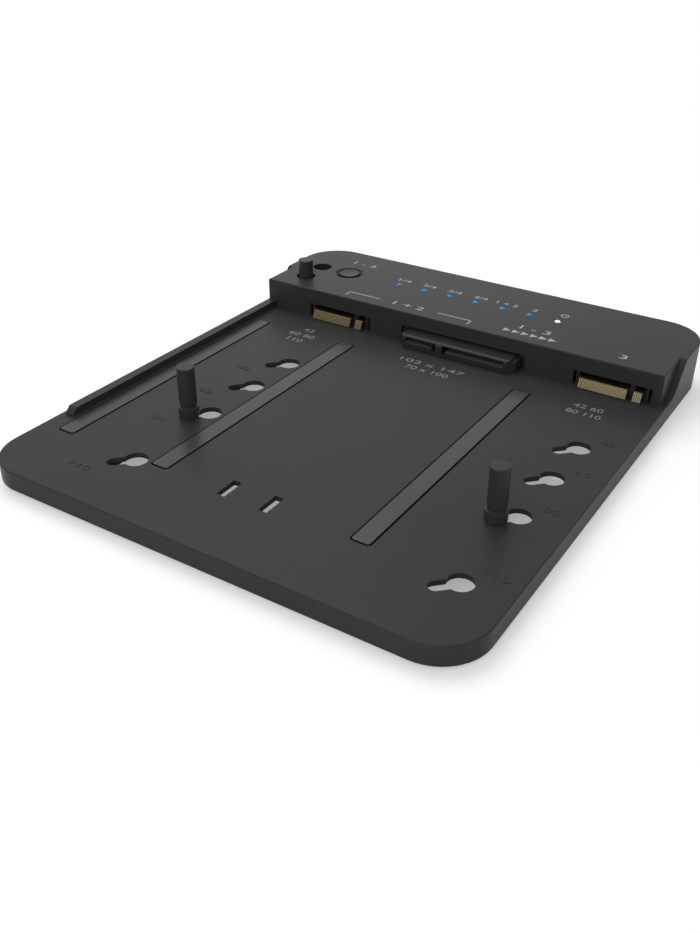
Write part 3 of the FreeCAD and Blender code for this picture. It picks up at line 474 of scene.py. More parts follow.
@dataclass(frozen=True)
class Metal:
    """Plated or turned metal with faint drawing lines."""

    name: str
    colour: Triple
    roughness: float
    grain: float = 0.25 * MM
    stretch: Triple = (1, 8, 1)
    tarnish: float = 0.25
    relief: float = 0.05
    depth: float = 0.01 * MM
    polish: float = 0.16

    def material(self) -> bpy.types.Material:
        """Build the material."""
        made = bpy.data.materials.new(self.name)
        graph = Graph(made, "ShaderNodeOutputMaterial")
        lines = graph.noise(self.grain, 3.0, self.stretch)
        dull = tuple(c * (1 - self.tarnish) for c in self.colour) + (1.0,)
        colour = graph.blend(lines, dull, self.colour + (1.0,))
        shader = graph.node("ShaderNodeBsdfPrincipled", inputs={
            "Base Color": colour, "Metallic": 1.0,
            "Roughness": lines * self.polish + (self.roughness - self.polish / 2),
            "Normal": graph.bump(lines, self.relief, self.depth)})
        graph.end(shader)
        return made


@dataclass(frozen=True)
class Lit:
    """Clear plastic with a light behind it."""

    name: str
    glow: Triple
    edge: Triple
    strength: float
    grain: float = 0.5 * MM
    unlit: Ring = (0.2, 0.4)

    def material(self) -> bpy.types.Material:
        """Build the material."""
        made = bpy.data.materials.new(self.name)
        graph = Graph(made, "ShaderNodeOutputMaterial")
        frost = graph.noise(self.grain, 2.0)
        glow = graph.blend(frost, self.edge + (1.0,), self.glow + (1.0,))
        dim, bright = (tuple(c * share for c in self.glow) + (1.0,) for share in self.unlit)
        shader = graph.node("ShaderNodeBsdfPrincipled", inputs={
            "Base Color": graph.blend(frost, dim, bright),
            "Roughness": frost * 0.1 + 0.2, "Specular IOR Level": 0.1,
            "Emission Color": glow, "Emission Strength": self.strength,
            "Normal": graph.bump(frost, 0.1, 0.02 * MM)})
        graph.end(shader)
        return made


@dataclass(frozen=True)
class Laminate:
    """Solder-masked circuit board with traces under the mask."""

    name: str
    mask: Triple
    copper: Triple
    pitch: float = 1.1 * MM
    trace: float = 0.62
    wave: float = 0.157

    def material(self) -> bpy.types.Material:
        """Build the material."""
        made = bpy.data.materials.new(self.name)
        graph = Graph(made, "ShaderNodeOutputMaterial")
        turn = graph.node("ShaderNodeMapping", inputs={"Vector": graph.place(),
                                                       "Rotation": (0, 0, math.pi / 4)})
        waves = graph.node("ShaderNodeTexWave", {"wave_profile": "TRI", "bands_direction": "X"},
                           {"Vector": turn, "Scale": self.wave / self.pitch, "Distortion": 6.0,
                            "Detail": 0.0, "Detail Scale": 0.4}, "Fac")
        traces = waves > self.trace
        cloud = graph.noise(9 * MM, 2.0)
        mask = graph.blend(cloud, tuple(c * 0.8 for c in self.mask) + (1.0,), self.mask + (1.0,))
        shader = graph.node("ShaderNodeBsdfPrincipled", inputs={
            "Base Color": graph.blend(traces, mask, self.copper + (1.0,)),
            "Roughness": 0.42 - traces * 0.12, "Normal": graph.bump(traces, 0.3, 0.02 * MM)})
        graph.end(shader)
        return made


@dataclass(frozen=True)
class Ink:
    """Pad-printed ink that lets a little of the plastic through."""

    name: str
    level: float
    grain: float = 0.16 * MM
    thin: float = 0.7
    full: float = 1.15

    def material(self) -> bpy.types.Material:
        """Build the material."""
        made = bpy.data.materials.new(self.name)
        graph = Graph(made, "ShaderNodeOutputMaterial")
        specks = graph.noise(self.grain, 3.0)
        colour = graph.blend(specks, grey(self.level * self.thin), grey(self.level * self.full))
        shader = graph.node("ShaderNodeBsdfPrincipled", inputs={
            "Base Color": colour, "Roughness": specks * 0.2 + 0.45,
            "Normal": graph.bump(specks, 0.15, 0.01 * MM)})
        graph.end(shader)
        return made


class Finishes:
    """Every finish of the dock, built once and handed out by name."""

    RECIPES: tuple = (
        Moulded("shell_satin", (0.029, 0.029, 0.0295), 0.36, sheen=0.06),
        Moulded("cover_matte", (0.024, 0.024, 0.025), 0.46, relief=0.2),
        Moulded("strip_rubber", (0.034, 0.034, 0.0345), 0.26, relief=0.05, sheen=0.17),
        # Near-black finish for side walls: painted shade for the gaps round the strips and round the start
        # button's cap.
        Moulded("painted_shade_sides", (0.008, 0.008, 0.0085), 0.70, sheen=0.05),
        Moulded("foot_rubber", (0.020, 0.020, 0.021), 0.62, grain=0.6 * MM, relief=0.3),
        Moulded("pin_satin", (0.028, 0.028, 0.029), 0.38, sheen=0.09),
        Moulded("socket_nylon", (0.020, 0.020, 0.021), 0.42, grain=0.25 * MM, sheen=0.14),
        Moulded("key_satin", (0.027, 0.027, 0.028), 0.36, sheen=0.085),
        Moulded("switch_nylon", (0.09, 0.085, 0.08), 0.45),
        Moulded("chip_resin", (0.014, 0.014, 0.015), 0.55, grain=0.15 * MM, relief=0.3),
        Moulded("coil_ferrite", (0.05, 0.05, 0.052), 0.7, grain=0.2 * MM, relief=0.4),
        Moulded("led_resin", (0.75, 0.72, 0.62), 0.35, sheen=0.5),
        # Gold set far darker than plated gold: partly tarnish, partly painted shade for the dark gaps
        # between the thin contacts.
        Metal("contact_gold", (0.19, 0.153, 0.085), 0.40, tarnish=0.5),
        # Darker copy of the contact gold: painted shade for the drive contacts deep in the socket's mouths.
        Metal("contact_painted_shade", (0.16, 0.12, 0.06), 0.50),
        Metal("port_nickel", (0.62, 0.61, 0.58), 0.28),
        Metal("screw_zinc", (0.42, 0.42, 0.43), 0.34, stretch=(1, 1, 1)),
        Metal("can_aluminium", (0.75, 0.75, 0.76), 0.33, stretch=(1, 1, 12)),
        Lit("blue_light", (0.004, 0.145, 0.37), (0.003, 0.115, 0.30), 1.0),
        Lit("blue_core", (0.006, 0.19, 0.47), (0.005, 0.165, 0.41), 1.0),
        Lit("white_light", (0.86, 0.88, 0.88), (0.7, 0.74, 0.76), 1.0),
        Laminate("board_laminate", (0.006, 0.040, 0.022), (0.02, 0.10, 0.05)),
        Ink("print_white", 0.28),
        Ink("print_grey", 0.125),
    )

    def __init__(self) -> None:
        """Build all materials."""
        self.made = {recipe.name: recipe.material() for recipe in self.RECIPES}

    def dress(self, piece: Piece, *names: str) -> Piece:
        """Give a piece its finishes, one for each material slot in turn."""
        piece.data.materials.clear()
        for name in names:
            piece.data.materials.append(self.made[name])
        return piece

    def dress_node(self, node: str, name: str) -> None:
        """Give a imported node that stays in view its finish."""
        self.dress(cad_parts[node], name)
        log.info("%s keeps its packed shape in %s", node, name)


# ---- datum faces ----------------------------------------------------------------------------------
@dataclass(frozen=True)
class Datum:
    """Faces and centre lines of the shell that other places are measured from."""

    header_over_plate: float = 9.4 * MM
    strip_from_header: float = 12.8 * MM

    @property
    def header_z(self) -> float:
        """Height of the header's top."""
        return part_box("top_shell")[1].z

    @property
    def plate_z(self) -> float:
        """Height of the plate's top."""
        return self.header_z - self.header_over_plate

    @property
    def face_y(self) -> float:
        """Place of the header's front face."""
        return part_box("left_rubber_strip")[1].y + self.strip_from_header

    @property
    def card_xs(self) -> tuple[float, float]:
        """Centre lines of the two card sockets."""
        return (middle(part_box("left_card_socket")).x, middle(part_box("right_card_socket")).x)

    @property
    def drive_x(self) -> float:
        """Centre line of the drive socket."""
        return middle(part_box("drive_socket")).x


# ---- sub-assemblies -------------------------------------------------------------------------------
@dataclass
class Casing:
    """Top shell and bottom cover with softened edges."""

    edge: float = 0.12 * MM
    segments: int = 2

    def build(self, finishes: Finishes) -> None:
        """Make and dress the shell and the cover."""
        for node, name, finish, slot in (("top_shell", "moulded_top", "shell_satin", "shell_plastic"),
                                         ("bottom_cover", "moulded_cover", "cover_matte",
                                          "cover_plastic")):
            piece = Bench.copy_node(name, node)
            Bench.soften(piece, self.edge, self.segments)
            Bench.smooth(piece)
            finishes.dress(piece, finish)
            stands_for(piece, node, Body.HOUSING)


@dataclass
class CardPins:
    """Turned pins that hold a card's end, two in keyholes and one in its well."""

    neck_play: float = 0.1 * MM
    plate: float = 1.45 * MM
    foot_r: float = 3.05 * MM
    foot_t: float = 2.5 * MM
    neck_r: float = 1.65 * MM
    collar_r: float = 2.9 * MM
    groove_r: float = 2.3 * MM
    grip_r: float = 2.5 * MM
    grip_ease: float = 0.3 * MM
    groove_z: float = 3.0 * MM
    groove_h: float = 0.9 * MM
    height: float = 15.0 * MM
    edge: float = 0.18 * MM

    def profile(self) -> list[Ring]:
        """Rings of a pin, with its height measured from the plate's top."""
        foot_top = -self.plate - self.neck_play
        soft = self.foot_t / 5
        groove_top = self.groove_z + self.groove_h
        return [(self.foot_r - soft, foot_top - self.foot_t), (self.foot_r, foot_top - self.foot_t + soft),
                (self.foot_r, foot_top), (self.neck_r, foot_top), (self.neck_r, self.neck_play),
                (self.collar_r, self.neck_play), (self.collar_r, self.groove_z),
                (self.groove_r, self.groove_z), (self.groove_r, groove_top),
                (self.grip_r, groove_top + self.grip_ease),
                (self.grip_r, self.height - self.edge), (self.grip_r - self.edge, self.height)]

    def build(self, finishes: Finishes) -> None:
        """Make one pin and copy it to its three places."""
        for side, body in (("left", Body.LEFT_PIN), ("right", Body.RIGHT_PIN), ("spare", Body.SPARE_PIN)):
            node = side + "_card_pin"
            low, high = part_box(node)
            pin = Bench.lathe("turned_" + side + "_pin", self.profile(), 72)
            Bench.soften(pin, self.edge, 3, 40)
            Bench.place(pin, (middle((low, high)).x, middle((low, high)).y, high.z - self.height))
            Bench.smooth(pin, 40)
            finishes.dress(pin, "pin_satin")
            stands_for(pin, node, body)


@dataclass
class Strips:
    """Rubber strips let into the plate, with rounded edges and sides made near-black as painted shade for
    the gaps round them.
    """

    edge: float = 0.2 * MM
    # Faces tilted further than this from upright take the painted shade.
    raw_below: float = 0.85

    def build(self, finishes: Finishes) -> None:
        """Make the three strips."""
        for side in ("left", "middle", "right"):
            node = side + "_rubber_strip"
            strip = Bench.copy_node("rounded_" + side + "_strip", node)
            Bench.soften(strip, self.edge, 3)
            finishes.dress(strip, "strip_rubber", "painted_shade_sides")
            # The strips' side faces take the near-black finish: painted shade in the gaps round them.
            Bench.finish_faces(strip, lambda face: face.normal.z < self.raw_below)
            Bench.smooth(strip)
            stands_for(strip, node, Body.HOUSING)


@dataclass
class Feet:
    """Round rubber feet with a shallow dish underneath."""

    dish: float = 0.18 * MM
    rim: float = 0.9 * MM
    edge: float = 0.08 * MM

    def build(self, finishes: Finishes) -> None:
        """Make one foot and copy it into its four recesses."""
        boxes = Bench.solids("rubber_feet")
        low, high = boxes[0]
        radius, tall = (high.x - low.x) / 2, high.z - low.z
        soft = tall / 5
        rings = [(radius - self.rim - soft, self.dish), (radius - self.rim, 0.0), (radius - soft, 0.0),
                 (radius - 0.3 * soft, 0.3 * soft), (radius, soft), (radius, tall)]
        foot = Bench.lathe("dished_feet", rings, 64)
        Bench.soften(foot, self.edge, 2, 25)
        feet = Bench.repeat(foot, [(middle(box).x, middle(box).y, box[0].z) for box in boxes])
        Bench.smooth(feet, 40)
        finishes.dress(feet, "foot_rubber")
        stands_for(feet, "rubber_feet", Body.HOUSING)


@dataclass
class CoverScrews:
    """Pan-head screws with a cross recess."""

    recess_w: float = 0.5 * MM
    recess_len: float = 2.5 * MM
    recess_depth: float = 0.55 * MM
    shank_r: float = 1.1 * MM
    tip_share: float = 0.7
    tip_h: float = 0.3 * MM
    head_t: float = 0.6 * MM
    # Shares of the head's radius, and of its height left above.
    crown: tuple[Ring, ...] = ((1.0, 0.55), (0.86, 0.15), (0.6, 0.0))

    def cross(self) -> Piece:
        """Cross-shaped cutter that narrows downwards."""
        arms = []
        for turn in (0.0, math.pi / 2):
            arm = Bench.block("cross_arm", (-self.recess_len / 2, -self.recess_w / 2, -self.recess_depth),
                              (self.recess_len / 2, self.recess_w / 2, self.recess_depth))
            Bench.edit(arm, False)
            Bench.pick_faces(arm, lambda face: face.normal.z < -0.9)
            bpy.ops.transform.resize(value=(0.45, 0.8, 1), center_override=(0, 0, -self.recess_depth))
            bpy.ops.object.mode_set(mode="OBJECT")
            arm.rotation_euler = (0, 0, turn)
            Bench.settle(arm)
            arms.append(arm)
        Bench.cut(arms[0], arms[1], "UNION")
        return arms[0]

    def build(self, finishes: Finishes) -> None:
        """Make one screw and copy it to its places."""
        boxes = Bench.solids("cover_screws")
        low, high = boxes[0]
        radius, tall = (high.x - low.x) / 2, high.z - low.z
        rings = [(self.shank_r * self.tip_share, 0.0), (self.shank_r, self.tip_h),
                 (self.shank_r, tall - self.head_t), (radius, tall - self.head_t)]
        rings += [(radius * wide, tall - self.head_t * left) for wide, left in self.crown]
        screw = Bench.lathe("cross_screws", rings, 48)
        cross = self.cross()
        Bench.place(cross, (0, 0, tall))
        Bench.cut(screw, cross)
        screw.rotation_euler = Facing.DOWN.value
        screw.location = (0, 0, tall)
        Bench.settle(screw)
        screws = Bench.repeat(screw, [(middle(box).x, middle(box).y, box[0].z) for box in boxes])
        Bench.smooth(screws, 30)
        finishes.dress(screws, "screw_zinc")
        stands_for(screws, "cover_screws", Body.HOUSING)


@dataclass
class CardSockets:
    """Card sockets: moulded bodies, each with its row of bent contacts."""

    edge: float = 0.08 * MM
    strip_t: float = 0.2 * MM
    nose_r: float = 0.5 * MM
    lean: float = math.radians(22.6)

    def contact(self, name: str, box: tuple[Vector, Vector]) -> Piece:
        """Bend one contact down from its top run and forwards to its foot.

        Args:
            name: The piece's name.
            box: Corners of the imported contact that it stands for.

        Returns:
            The contact, with the middle of its box on the origin.
        """
        size = box[1] - box[0]
        half = size.x / 2
        slope = (size.z - self.nose_r * (1 - math.sin(self.lean))) / math.cos(self.lean)
        ahead = self.nose_r * math.cos(self.lean) + slope * math.sin(self.lean)
        strip = Bench.block(name, (-half, 0, -self.strip_t), (half, size.y - ahead, 0))
        Bench.edit(strip, False)
        Bench.pick_faces(strip, lambda face: face.normal.y < -0.9)
        bpy.ops.mesh.spin(steps=4, angle=math.pi / 2 - self.lean, center=(0, 0, -self.nose_r),
                          axis=(-1, 0, 0))
        down = (0, -slope * math.sin(self.lean), -slope * math.cos(self.lean))
        bpy.ops.mesh.extrude_region_move(TRANSFORM_OT_translate={"value": down})
        Bench.face_out()
        return Bench.place(strip, (0, ahead - size.y / 2, size.z / 2))

    def build(self, finishes: Finishes) -> None:
        """Make both sockets and their contacts."""
        for side in ("left", "right"):
            node = side + "_card_socket"
            body = Bench.copy_node("moulded_" + node, node)
            Bench.soften(body, self.edge, 2)
            Bench.smooth(body)
            finishes.dress(body, "socket_nylon")
            stands_for(body, node, Body.HOUSING)
            node = side + "_card_contacts"
            boxes = Bench.solids(node)
            strip = self.contact("bent_" + node, boxes[0])
            row = Bench.repeat(strip, [middle(box) for box in boxes])
            Bench.smooth(row, 40)
            finishes.dress(row, "contact_gold")
            stands_for(row, node, Body.HOUSING)


@dataclass
class DriveSocket:
    """Drive socket with softened mouths, and its contacts."""

    edge: float = 0.12 * MM

    def build(self, finishes: Finishes) -> None:
        """Make the socket and dress its contacts."""
        body = Bench.copy_node("moulded_drive_socket", "drive_socket")
        Bench.soften(body, self.edge, 2)
        Bench.smooth(body)
        finishes.dress(body, "socket_nylon")
        stands_for(body, "drive_socket", Body.HOUSING)
        # The drive contacts take the darker gold: painted shade for their place deep inside the mouths.
        finishes.dress_node("drive_contacts", "contact_painted_shade")


@dataclass
class Lights:
    """Light pipes whose ends are low lenses with a bright middle."""

    pipe_r: float = 0.9 * MM
    rim_share: float = 0.18
    core_share: float = 0.55
    dome: float = 0.3 * MM
    rim_rise: float = 0.6

    def build(self, finishes: Finishes) -> None:
        """Make the pipes of the blue lights and of the white one."""
        for node, outer, core, slot in (("blue_light_pipes", "blue_light", "blue_core", "blue_light"),
                                        ("white_light_pipe", "white_light", "white_light", "white_light")):
            pipes = Bench.copy_node("lens_" + node, node)
            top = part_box(node)[1].z
            finishes.dress(pipes, outer, core)
            Bench.edit(pipes, False)
            Bench.pick_faces(pipes, lambda face: face.normal.z > 0.9
                             and face.calc_center_median().z > top - 0.1 * MM)
            between = 1 - self.rim_share - self.core_share
            bpy.ops.mesh.inset(thickness=self.pipe_r * self.rim_share, depth=self.dome * self.rim_rise)
            bpy.ops.mesh.inset(thickness=self.pipe_r * between, depth=self.dome * (1 - self.rim_rise))
            pipes.active_material_index = 1
            bpy.ops.object.material_slot_assign()
            bpy.ops.object.mode_set(mode="OBJECT")
            Bench.smooth(pipes, 40)
            stands_for(pipes, node, Body.HOUSING)


@dataclass
class Keys:
    """Start button in the header's top and power button in the rear wall."""

    stem_r: float = 1.9 * MM
    flange_t: float = 0.9 * MM
    cap_h: float = 1.7 * MM
    cap_r: float = 3.45 * MM
    crown: float = 0.15 * MM
    dish: float = 0.22 * MM
    power_cap_r: float = 3.0 * MM
    power_collar_t: float = 0.9 * MM
    rim_turns: tuple[float, ...] = (0.0, 0.52, 1.05, math.pi / 2)
    dish_shares: tuple[float, ...] = (0.85, 0.65, 0.4, 0.15)

    def cap(self, radius: float, top: float) -> list[Ring]:
        """Rings of a cap's rounded rim and dished top, up to a height."""
        rim = [(radius - self.crown * (1 - math.cos(turn)), top - self.crown * (1 - math.sin(turn)))
               for turn in self.rim_turns]
        inner = radius - self.crown
        dish = [(inner * share, top - self.dish * (1 - share * share)) for share in self.dish_shares]
        return rim + dish

    def build(self, finishes: Finishes) -> None:
        """Make both buttons."""
        low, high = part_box("start_button")
        tall, flange_r = high.z - low.z, (high.x - low.x) / 2
        flange_top = tall - self.cap_h
        rings = [(self.stem_r, 0.0), (self.stem_r, flange_top - self.flange_t),
                 (flange_r, flange_top - self.flange_t), (flange_r, flange_top), (self.cap_r, flange_top)]
        start = Bench.lathe("dished_start_button", rings + self.cap(self.cap_r, tall), 72)
        Bench.place(start, (middle((low, high)).x, middle((low, high)).y, low.z))
        # The cap's upright walls take the near-black finish: painted shade in the gap round the button.
        finishes.dress(start, "key_satin", "painted_shade_sides")
        Bench.finish_faces(start, lambda face: abs(face.normal.z) < 0.3)
        Bench.smooth(start, 40)
        stands_for(start, "start_button", Body.START_KEY)

        low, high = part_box("power_button")
        deep, collar_r = high.y - low.y, (high.x - low.x) / 2
        rings = [(collar_r, 0.0), (collar_r, self.power_collar_t), (self.power_cap_r, self.power_collar_t)]
        power = Bench.lathe("dished_power_button", rings + self.cap(self.power_cap_r, deep), 64)
        Bench.place(power, (middle((low, high)).x, low.y, middle((low, high)).z), Facing.REAR)
        Bench.smooth(power, 40)
        finishes.dress(power, "key_satin")
        stands_for(power, "power_button", Body.POWER_KEY)


@dataclass
class RearPorts:
    """Barrel jack and USB socket with softened mouths."""

    edge: float = 0.1 * MM

    def build(self, finishes: Finishes) -> None:
        """Make the rounded ports."""
        for node, name, finish, slot in (
                ("dc_jack_body", "moulded_jack", "socket_nylon", "socket_plastic"),
                ("dc_jack_pin", "turned_jack_pin", "port_nickel", "port_metal"),
                ("usb_shell", "drawn_usb_shell", "port_nickel", "port_metal"),
                ("usb_tongue", "moulded_usb_tongue", "socket_nylon", "socket_plastic")):
            port = Bench.copy_node(name, node)
            Bench.soften(port, self.edge * (0.6 if "usb" in node else 1.0), 2)
            Bench.smooth(port)
            finishes.dress(port, finish)
            stands_for(port, node, Body.HOUSING)


class Board:
    """Circuit board, what stands on it and the switches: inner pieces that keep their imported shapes."""

    FINISH_OF: dict[str, str] = {
        "main_board": "board_laminate", "board_screws": "screw_zinc", "board_leds": "led_resin",
        "board_chips": "chip_resin", "board_capacitors": "can_aluminium", "board_coils": "coil_ferrite",
        "board_crystals": "port_nickel", "start_switch_body": "switch_nylon",
        "start_switch_plunger": "switch_nylon", "power_switch_body": "switch_nylon",
        "power_switch_plunger": "switch_nylon"}

    def build(self, finishes: Finishes) -> None:
        """Dress every inner node."""
        for node, finish in self.FINISH_OF.items():
            finishes.dress_node(node, finish)


@dataclass
class Lettering:
    """Plain numbers and marks, printed on the header and the plate or raised beside the keyholes."""

    datum: Datum
    ink_t: float = 0.03 * MM
    sunk: float = 0.02 * MM
    line_w: float = 0.42 * MM
    light_label_h: float = 2.0 * MM
    word_h: float = 2.7 * MM
    small_word_h: float = 2.2 * MM
    plate_h: float = 2.3 * MM
    raised_h: float = 2.2 * MM
    raised_w: float = 2.2 * MM
    relief: float = 0.10 * MM
    light_texts: tuple = (("1/4", 4.6 * MM), ("2/4", 4.9 * MM), ("3/4", 4.9 * MM), ("4/4", 4.9 * MM),
                          ("1 + 2", 7.4 * MM), ("3", 1.6 * MM))
    light_label_back: float = 4.3 * MM
    ring_r: float = 1.15 * MM
    ring_offset: Ring = (0.3 * MM, 5.3 * MM)
    ring_gap: float = math.radians(38)
    ring_bar: Ring = (0.15, 1.25)
    header_line: float = 5.2 * MM
    bracket_ends: Ring = (0.85 * MM, 0.3 * MM)
    bracket_gap: float = 10.8 * MM
    bracket_drop: float = 2.9 * MM
    bracket_word_w: float = 11.0 * MM
    arrow_count: int = 6
    arrow_pitch: float = 2.98 * MM
    arrow_w: float = 2.5 * MM
    arrow_h: float = 2.4 * MM
    arrows_from_drive: float = 20.2 * MM
    # Other words on the header: offsets along X and Y, and width.
    arrow_word: Triple = (0.0, 9.6 * MM, 10.0 * MM)
    right_word: Triple = (0.6 * MM, 5.8 * MM, 2.2 * MM)
    button_word: Triple = (0.5 * MM, 9.8 * MM, 8.6 * MM)
    # Text, its socket, offset from the socket's middle, distance in front of the header, width.
    plate_texts: tuple = (("42", "left", -4.8 * MM, 11.0 * MM, 4.0 * MM),
                          ("60 80", "left", -4.8 * MM, 15.1 * MM, 9.4 * MM),
                          ("110", "left", -4.8 * MM, 19.2 * MM, 5.6 * MM),
                          ("42 60", "right", -2.0 * MM, 12.2 * MM, 8.8 * MM),
                          ("80 110", "right", -2.0 * MM, 16.3 * MM, 10.2 * MM),
                          ("102 x 147", "drive", -3.4 * MM, 12.5 * MM, 22.0 * MM),
                          ("70 x 100", "drive", -3.2 * MM, 16.5 * MM, 14.6 * MM))
    card_lengths: tuple[int, ...] = (42, 60, 80, 110)
    card_seat: float = 3.1 * MM
    keyhole_step: float = 4.1 * MM
    keyhole_mark: Ring = (5.8 * MM, 6.0 * MM)

    def label(self, text: str, centre: Sequence[float], height: float, width: float,
              relief: float | None = None) -> Piece:
        """Set a line of numbers.

        Args:
            text: The line.
            centre: Middle of the line on its surface.
            height: Height of its figures.
            width: Width of the line.
            relief: How far it stands up, if more than ink.

        Returns:
            The line as a thin closed mesh.
        """
        proud = relief or self.ink_t
        Bench.clear()
        bpy.ops.object.text_add()
        line = Bench.named("line")
        line.data.body = text
        line.data.resolution_u = 4
        line.data.offset = 0.006
        line.data.extrude = 0.5
        Bench.take(line)
        bpy.ops.object.convert(target="MESH")
        points = [vertex.co for vertex in line.data.vertices]
        low, high = Vector(map(min, *points)), Vector(map(max, *points))
        size = high - low
        scale = Vector((width / size.x, height / size.y, (proud + self.sunk) / size.z))
        line.data.transform(Matrix.Translation(-(low + high) / 2))
        line.scale = scale
        line.location = Vector(centre) + Vector((0, 0, (proud - self.sunk) / 2))
        Bench.settle(line)
        return line

    def bar(self, x0: float, x1: float, y0: float, y1: float, z: float) -> Piece:
        """Printed bar between two corners, with eased ends."""
        bar = Bench.block("bar", (x0, y0, z - self.sunk), (x1, y1, z + self.ink_t))
        Bench.edit(bar, False)
        Bench.pick_faces(bar, lambda face: face.normal.z > 0.9)
        bpy.ops.mesh.inset(thickness=self.line_w * 0.08, depth=0)
        bpy.ops.object.mode_set(mode="OBJECT")
        return bar

    def bracket(self, centre: Sequence[float], half: float, gap: float, drop: float) -> list[Piece]:
        """Two hooked lines at either side of a word.

        Args:
            centre: Middle of the word.
            half: Half of the bracket's width.
            gap: Half of the space left for the word.
            drop: Length of the hooks towards the front.

        Returns:
            The lines.
        """
        x, y, z = centre
        thick = self.line_w / 2
        lines = []
        for side in (-1, 1):
            outer, inner = x + side * half, x + side * gap
            lines.append(self.bar(min(outer, inner), max(outer, inner), y - thick, y + thick, z))
            lines.append(self.bar(outer - thick, outer + thick, y - drop, y + thick, z))
        return lines

    def arrow(self, centre: Sequence[float], width: float, height: float) -> Piece:
        """Solid triangle that points to the right."""
        Bench.clear()
        bpy.ops.mesh.primitive_circle_add(vertices=3, radius=1, fill_type="NGON")
        arrow = Bench.named("arrow")
        Bench.edit(arrow)
        bpy.ops.transform.translate(value=(0, 0, -self.sunk))
        bpy.ops.mesh.extrude_region_move(TRANSFORM_OT_translate={"value": (0, 0, self.sunk + self.ink_t)})
        Bench.face_out()
        arrow.rotation_euler = (0, 0, -math.pi / 2)
        Bench.settle(arrow)
        arrow.scale = (width / 1.5, height / math.sqrt(3), 1)
        arrow.location = Vector(centre) - Vector((width / 6, 0, 0))
        Bench.settle(arrow)
        return arrow

    def ring_mark(self, centre: Sequence[float], radius: float) -> list[Piece]:
        """Open ring with an upright bar in its gap."""
        x, y, z = centre
        thick = self.line_w
        ring = Bench.block("ring", (-thick / 2, radius - thick / 2, -self.sunk),
                           (thick / 2, radius + thick / 2, self.ink_t))
        Bench.edit(ring, False)
        ring_turn = 2 * math.pi - 2 * self.ring_gap
        Bench.pick_faces(ring, lambda face: face.normal.x > 0.9)
        bpy.ops.mesh.spin(steps=28, angle=ring_turn, center=(0, 0, 0), axis=(0, 0, 1))
        Bench.face_out()
        ring.rotation_euler = (0, 0, -self.ring_gap)
        ring.location = Vector(centre)
        Bench.settle(ring)
        low, high = self.ring_bar
        return [ring, self.bar(x - thick / 2, x + thick / 2, y + radius * low, y + radius * high, z)]

    def on_header(self) -> list[Piece]:
        """Marks on the header's top."""
        z, face = self.datum.header_z, self.datum.face_y
        left_x, right_x = self.datum.card_xs
        drive_x = self.datum.drive_x
        line_y = face + self.header_line
        lights = [middle(box) for box in Bench.solids("board_leds")]
        marks = []
        for light, (text, width) in zip(lights[:-1], self.light_texts):
            at = (light.x, light.y + self.light_label_back, z)
            marks.append(self.label(text, at, self.light_label_h, width))
        ring_x, ring_y = self.ring_offset
        marks += self.ring_mark((lights[-1].x + ring_x, lights[-1].y + ring_y, z), self.ring_r)
        low_x, high_x = left_x + self.bracket_ends[0], drive_x + self.bracket_ends[1]
        word = ((low_x + high_x) / 2, line_y, z)
        marks += self.bracket(word, (high_x - low_x) / 2, self.bracket_gap, self.bracket_drop)
        marks.append(self.label("1 + 2", word, self.word_h, self.bracket_word_w))
        arrow_x = drive_x + self.arrows_from_drive
        for i in range(self.arrow_count):
            at = (arrow_x + (i - (self.arrow_count - 1) / 2) * self.arrow_pitch, line_y, z)
            marks.append(self.arrow(at, self.arrow_w, self.arrow_h))
        button = middle(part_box("start_button"))
        for text, x, y, (across, back, width), height in (
                ("1 - 3", arrow_x, face, self.arrow_word, self.word_h),
                ("3", right_x, face, self.right_word, self.word_h),
                ("1 - 3", button.x, button.y, self.button_word, self.small_word_h)):
            marks.append(self.label(text, (x + across, y + back, z), height, width))
        return marks

    def on_plate(self) -> list[Piece]:
        """Marks on the plate in front of the three sockets."""
        z, face = self.datum.plate_z, self.datum.face_y
        left_x, right_x = self.datum.card_xs
        middles = {"left": left_x, "right": right_x, "drive": self.datum.drive_x}
        return [self.label(text, (middles[socket] + across, face - ahead, z), self.plate_h, width)
                for text, socket, across, ahead, width in self.plate_texts]

    def beside_keyholes(self) -> list[Piece]:
        """Card lengths raised beside the keyholes, in the shell's own plastic."""
        z, end_y = self.datum.plate_z, self.datum.face_y + self.card_seat
        across, along = self.keyhole_mark
        marks = []
        for x, side in zip(self.datum.card_xs, (-1, 1)):
            entry = self.keyhole_step if side > 0 else 0.0
            for length in self.card_lengths:
                at = (x + entry + side * across, end_y - length * MM + entry + side * along, z)
                wide = self.raised_w * len(str(length))
                marks.append(self.label(str(length), at, self.raised_h, wide, self.relief))
        return marks

    def build(self, finishes: Finishes) -> None:
        """Make the print on both surfaces and the raised numbers."""
        for name, marks, finish in (("header_print", self.on_header(), "print_white"),
                                    ("plate_print", self.on_plate(), "print_grey"),
                                    ("raised_lengths", self.beside_keyholes(), "shell_satin")):
            print_piece = Bench.join(name, marks)
            finishes.dress(print_piece, finish)
            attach(print_piece, Body.HOUSING.value)
            log.info("%s on %s", name, Body.HOUSING.value)


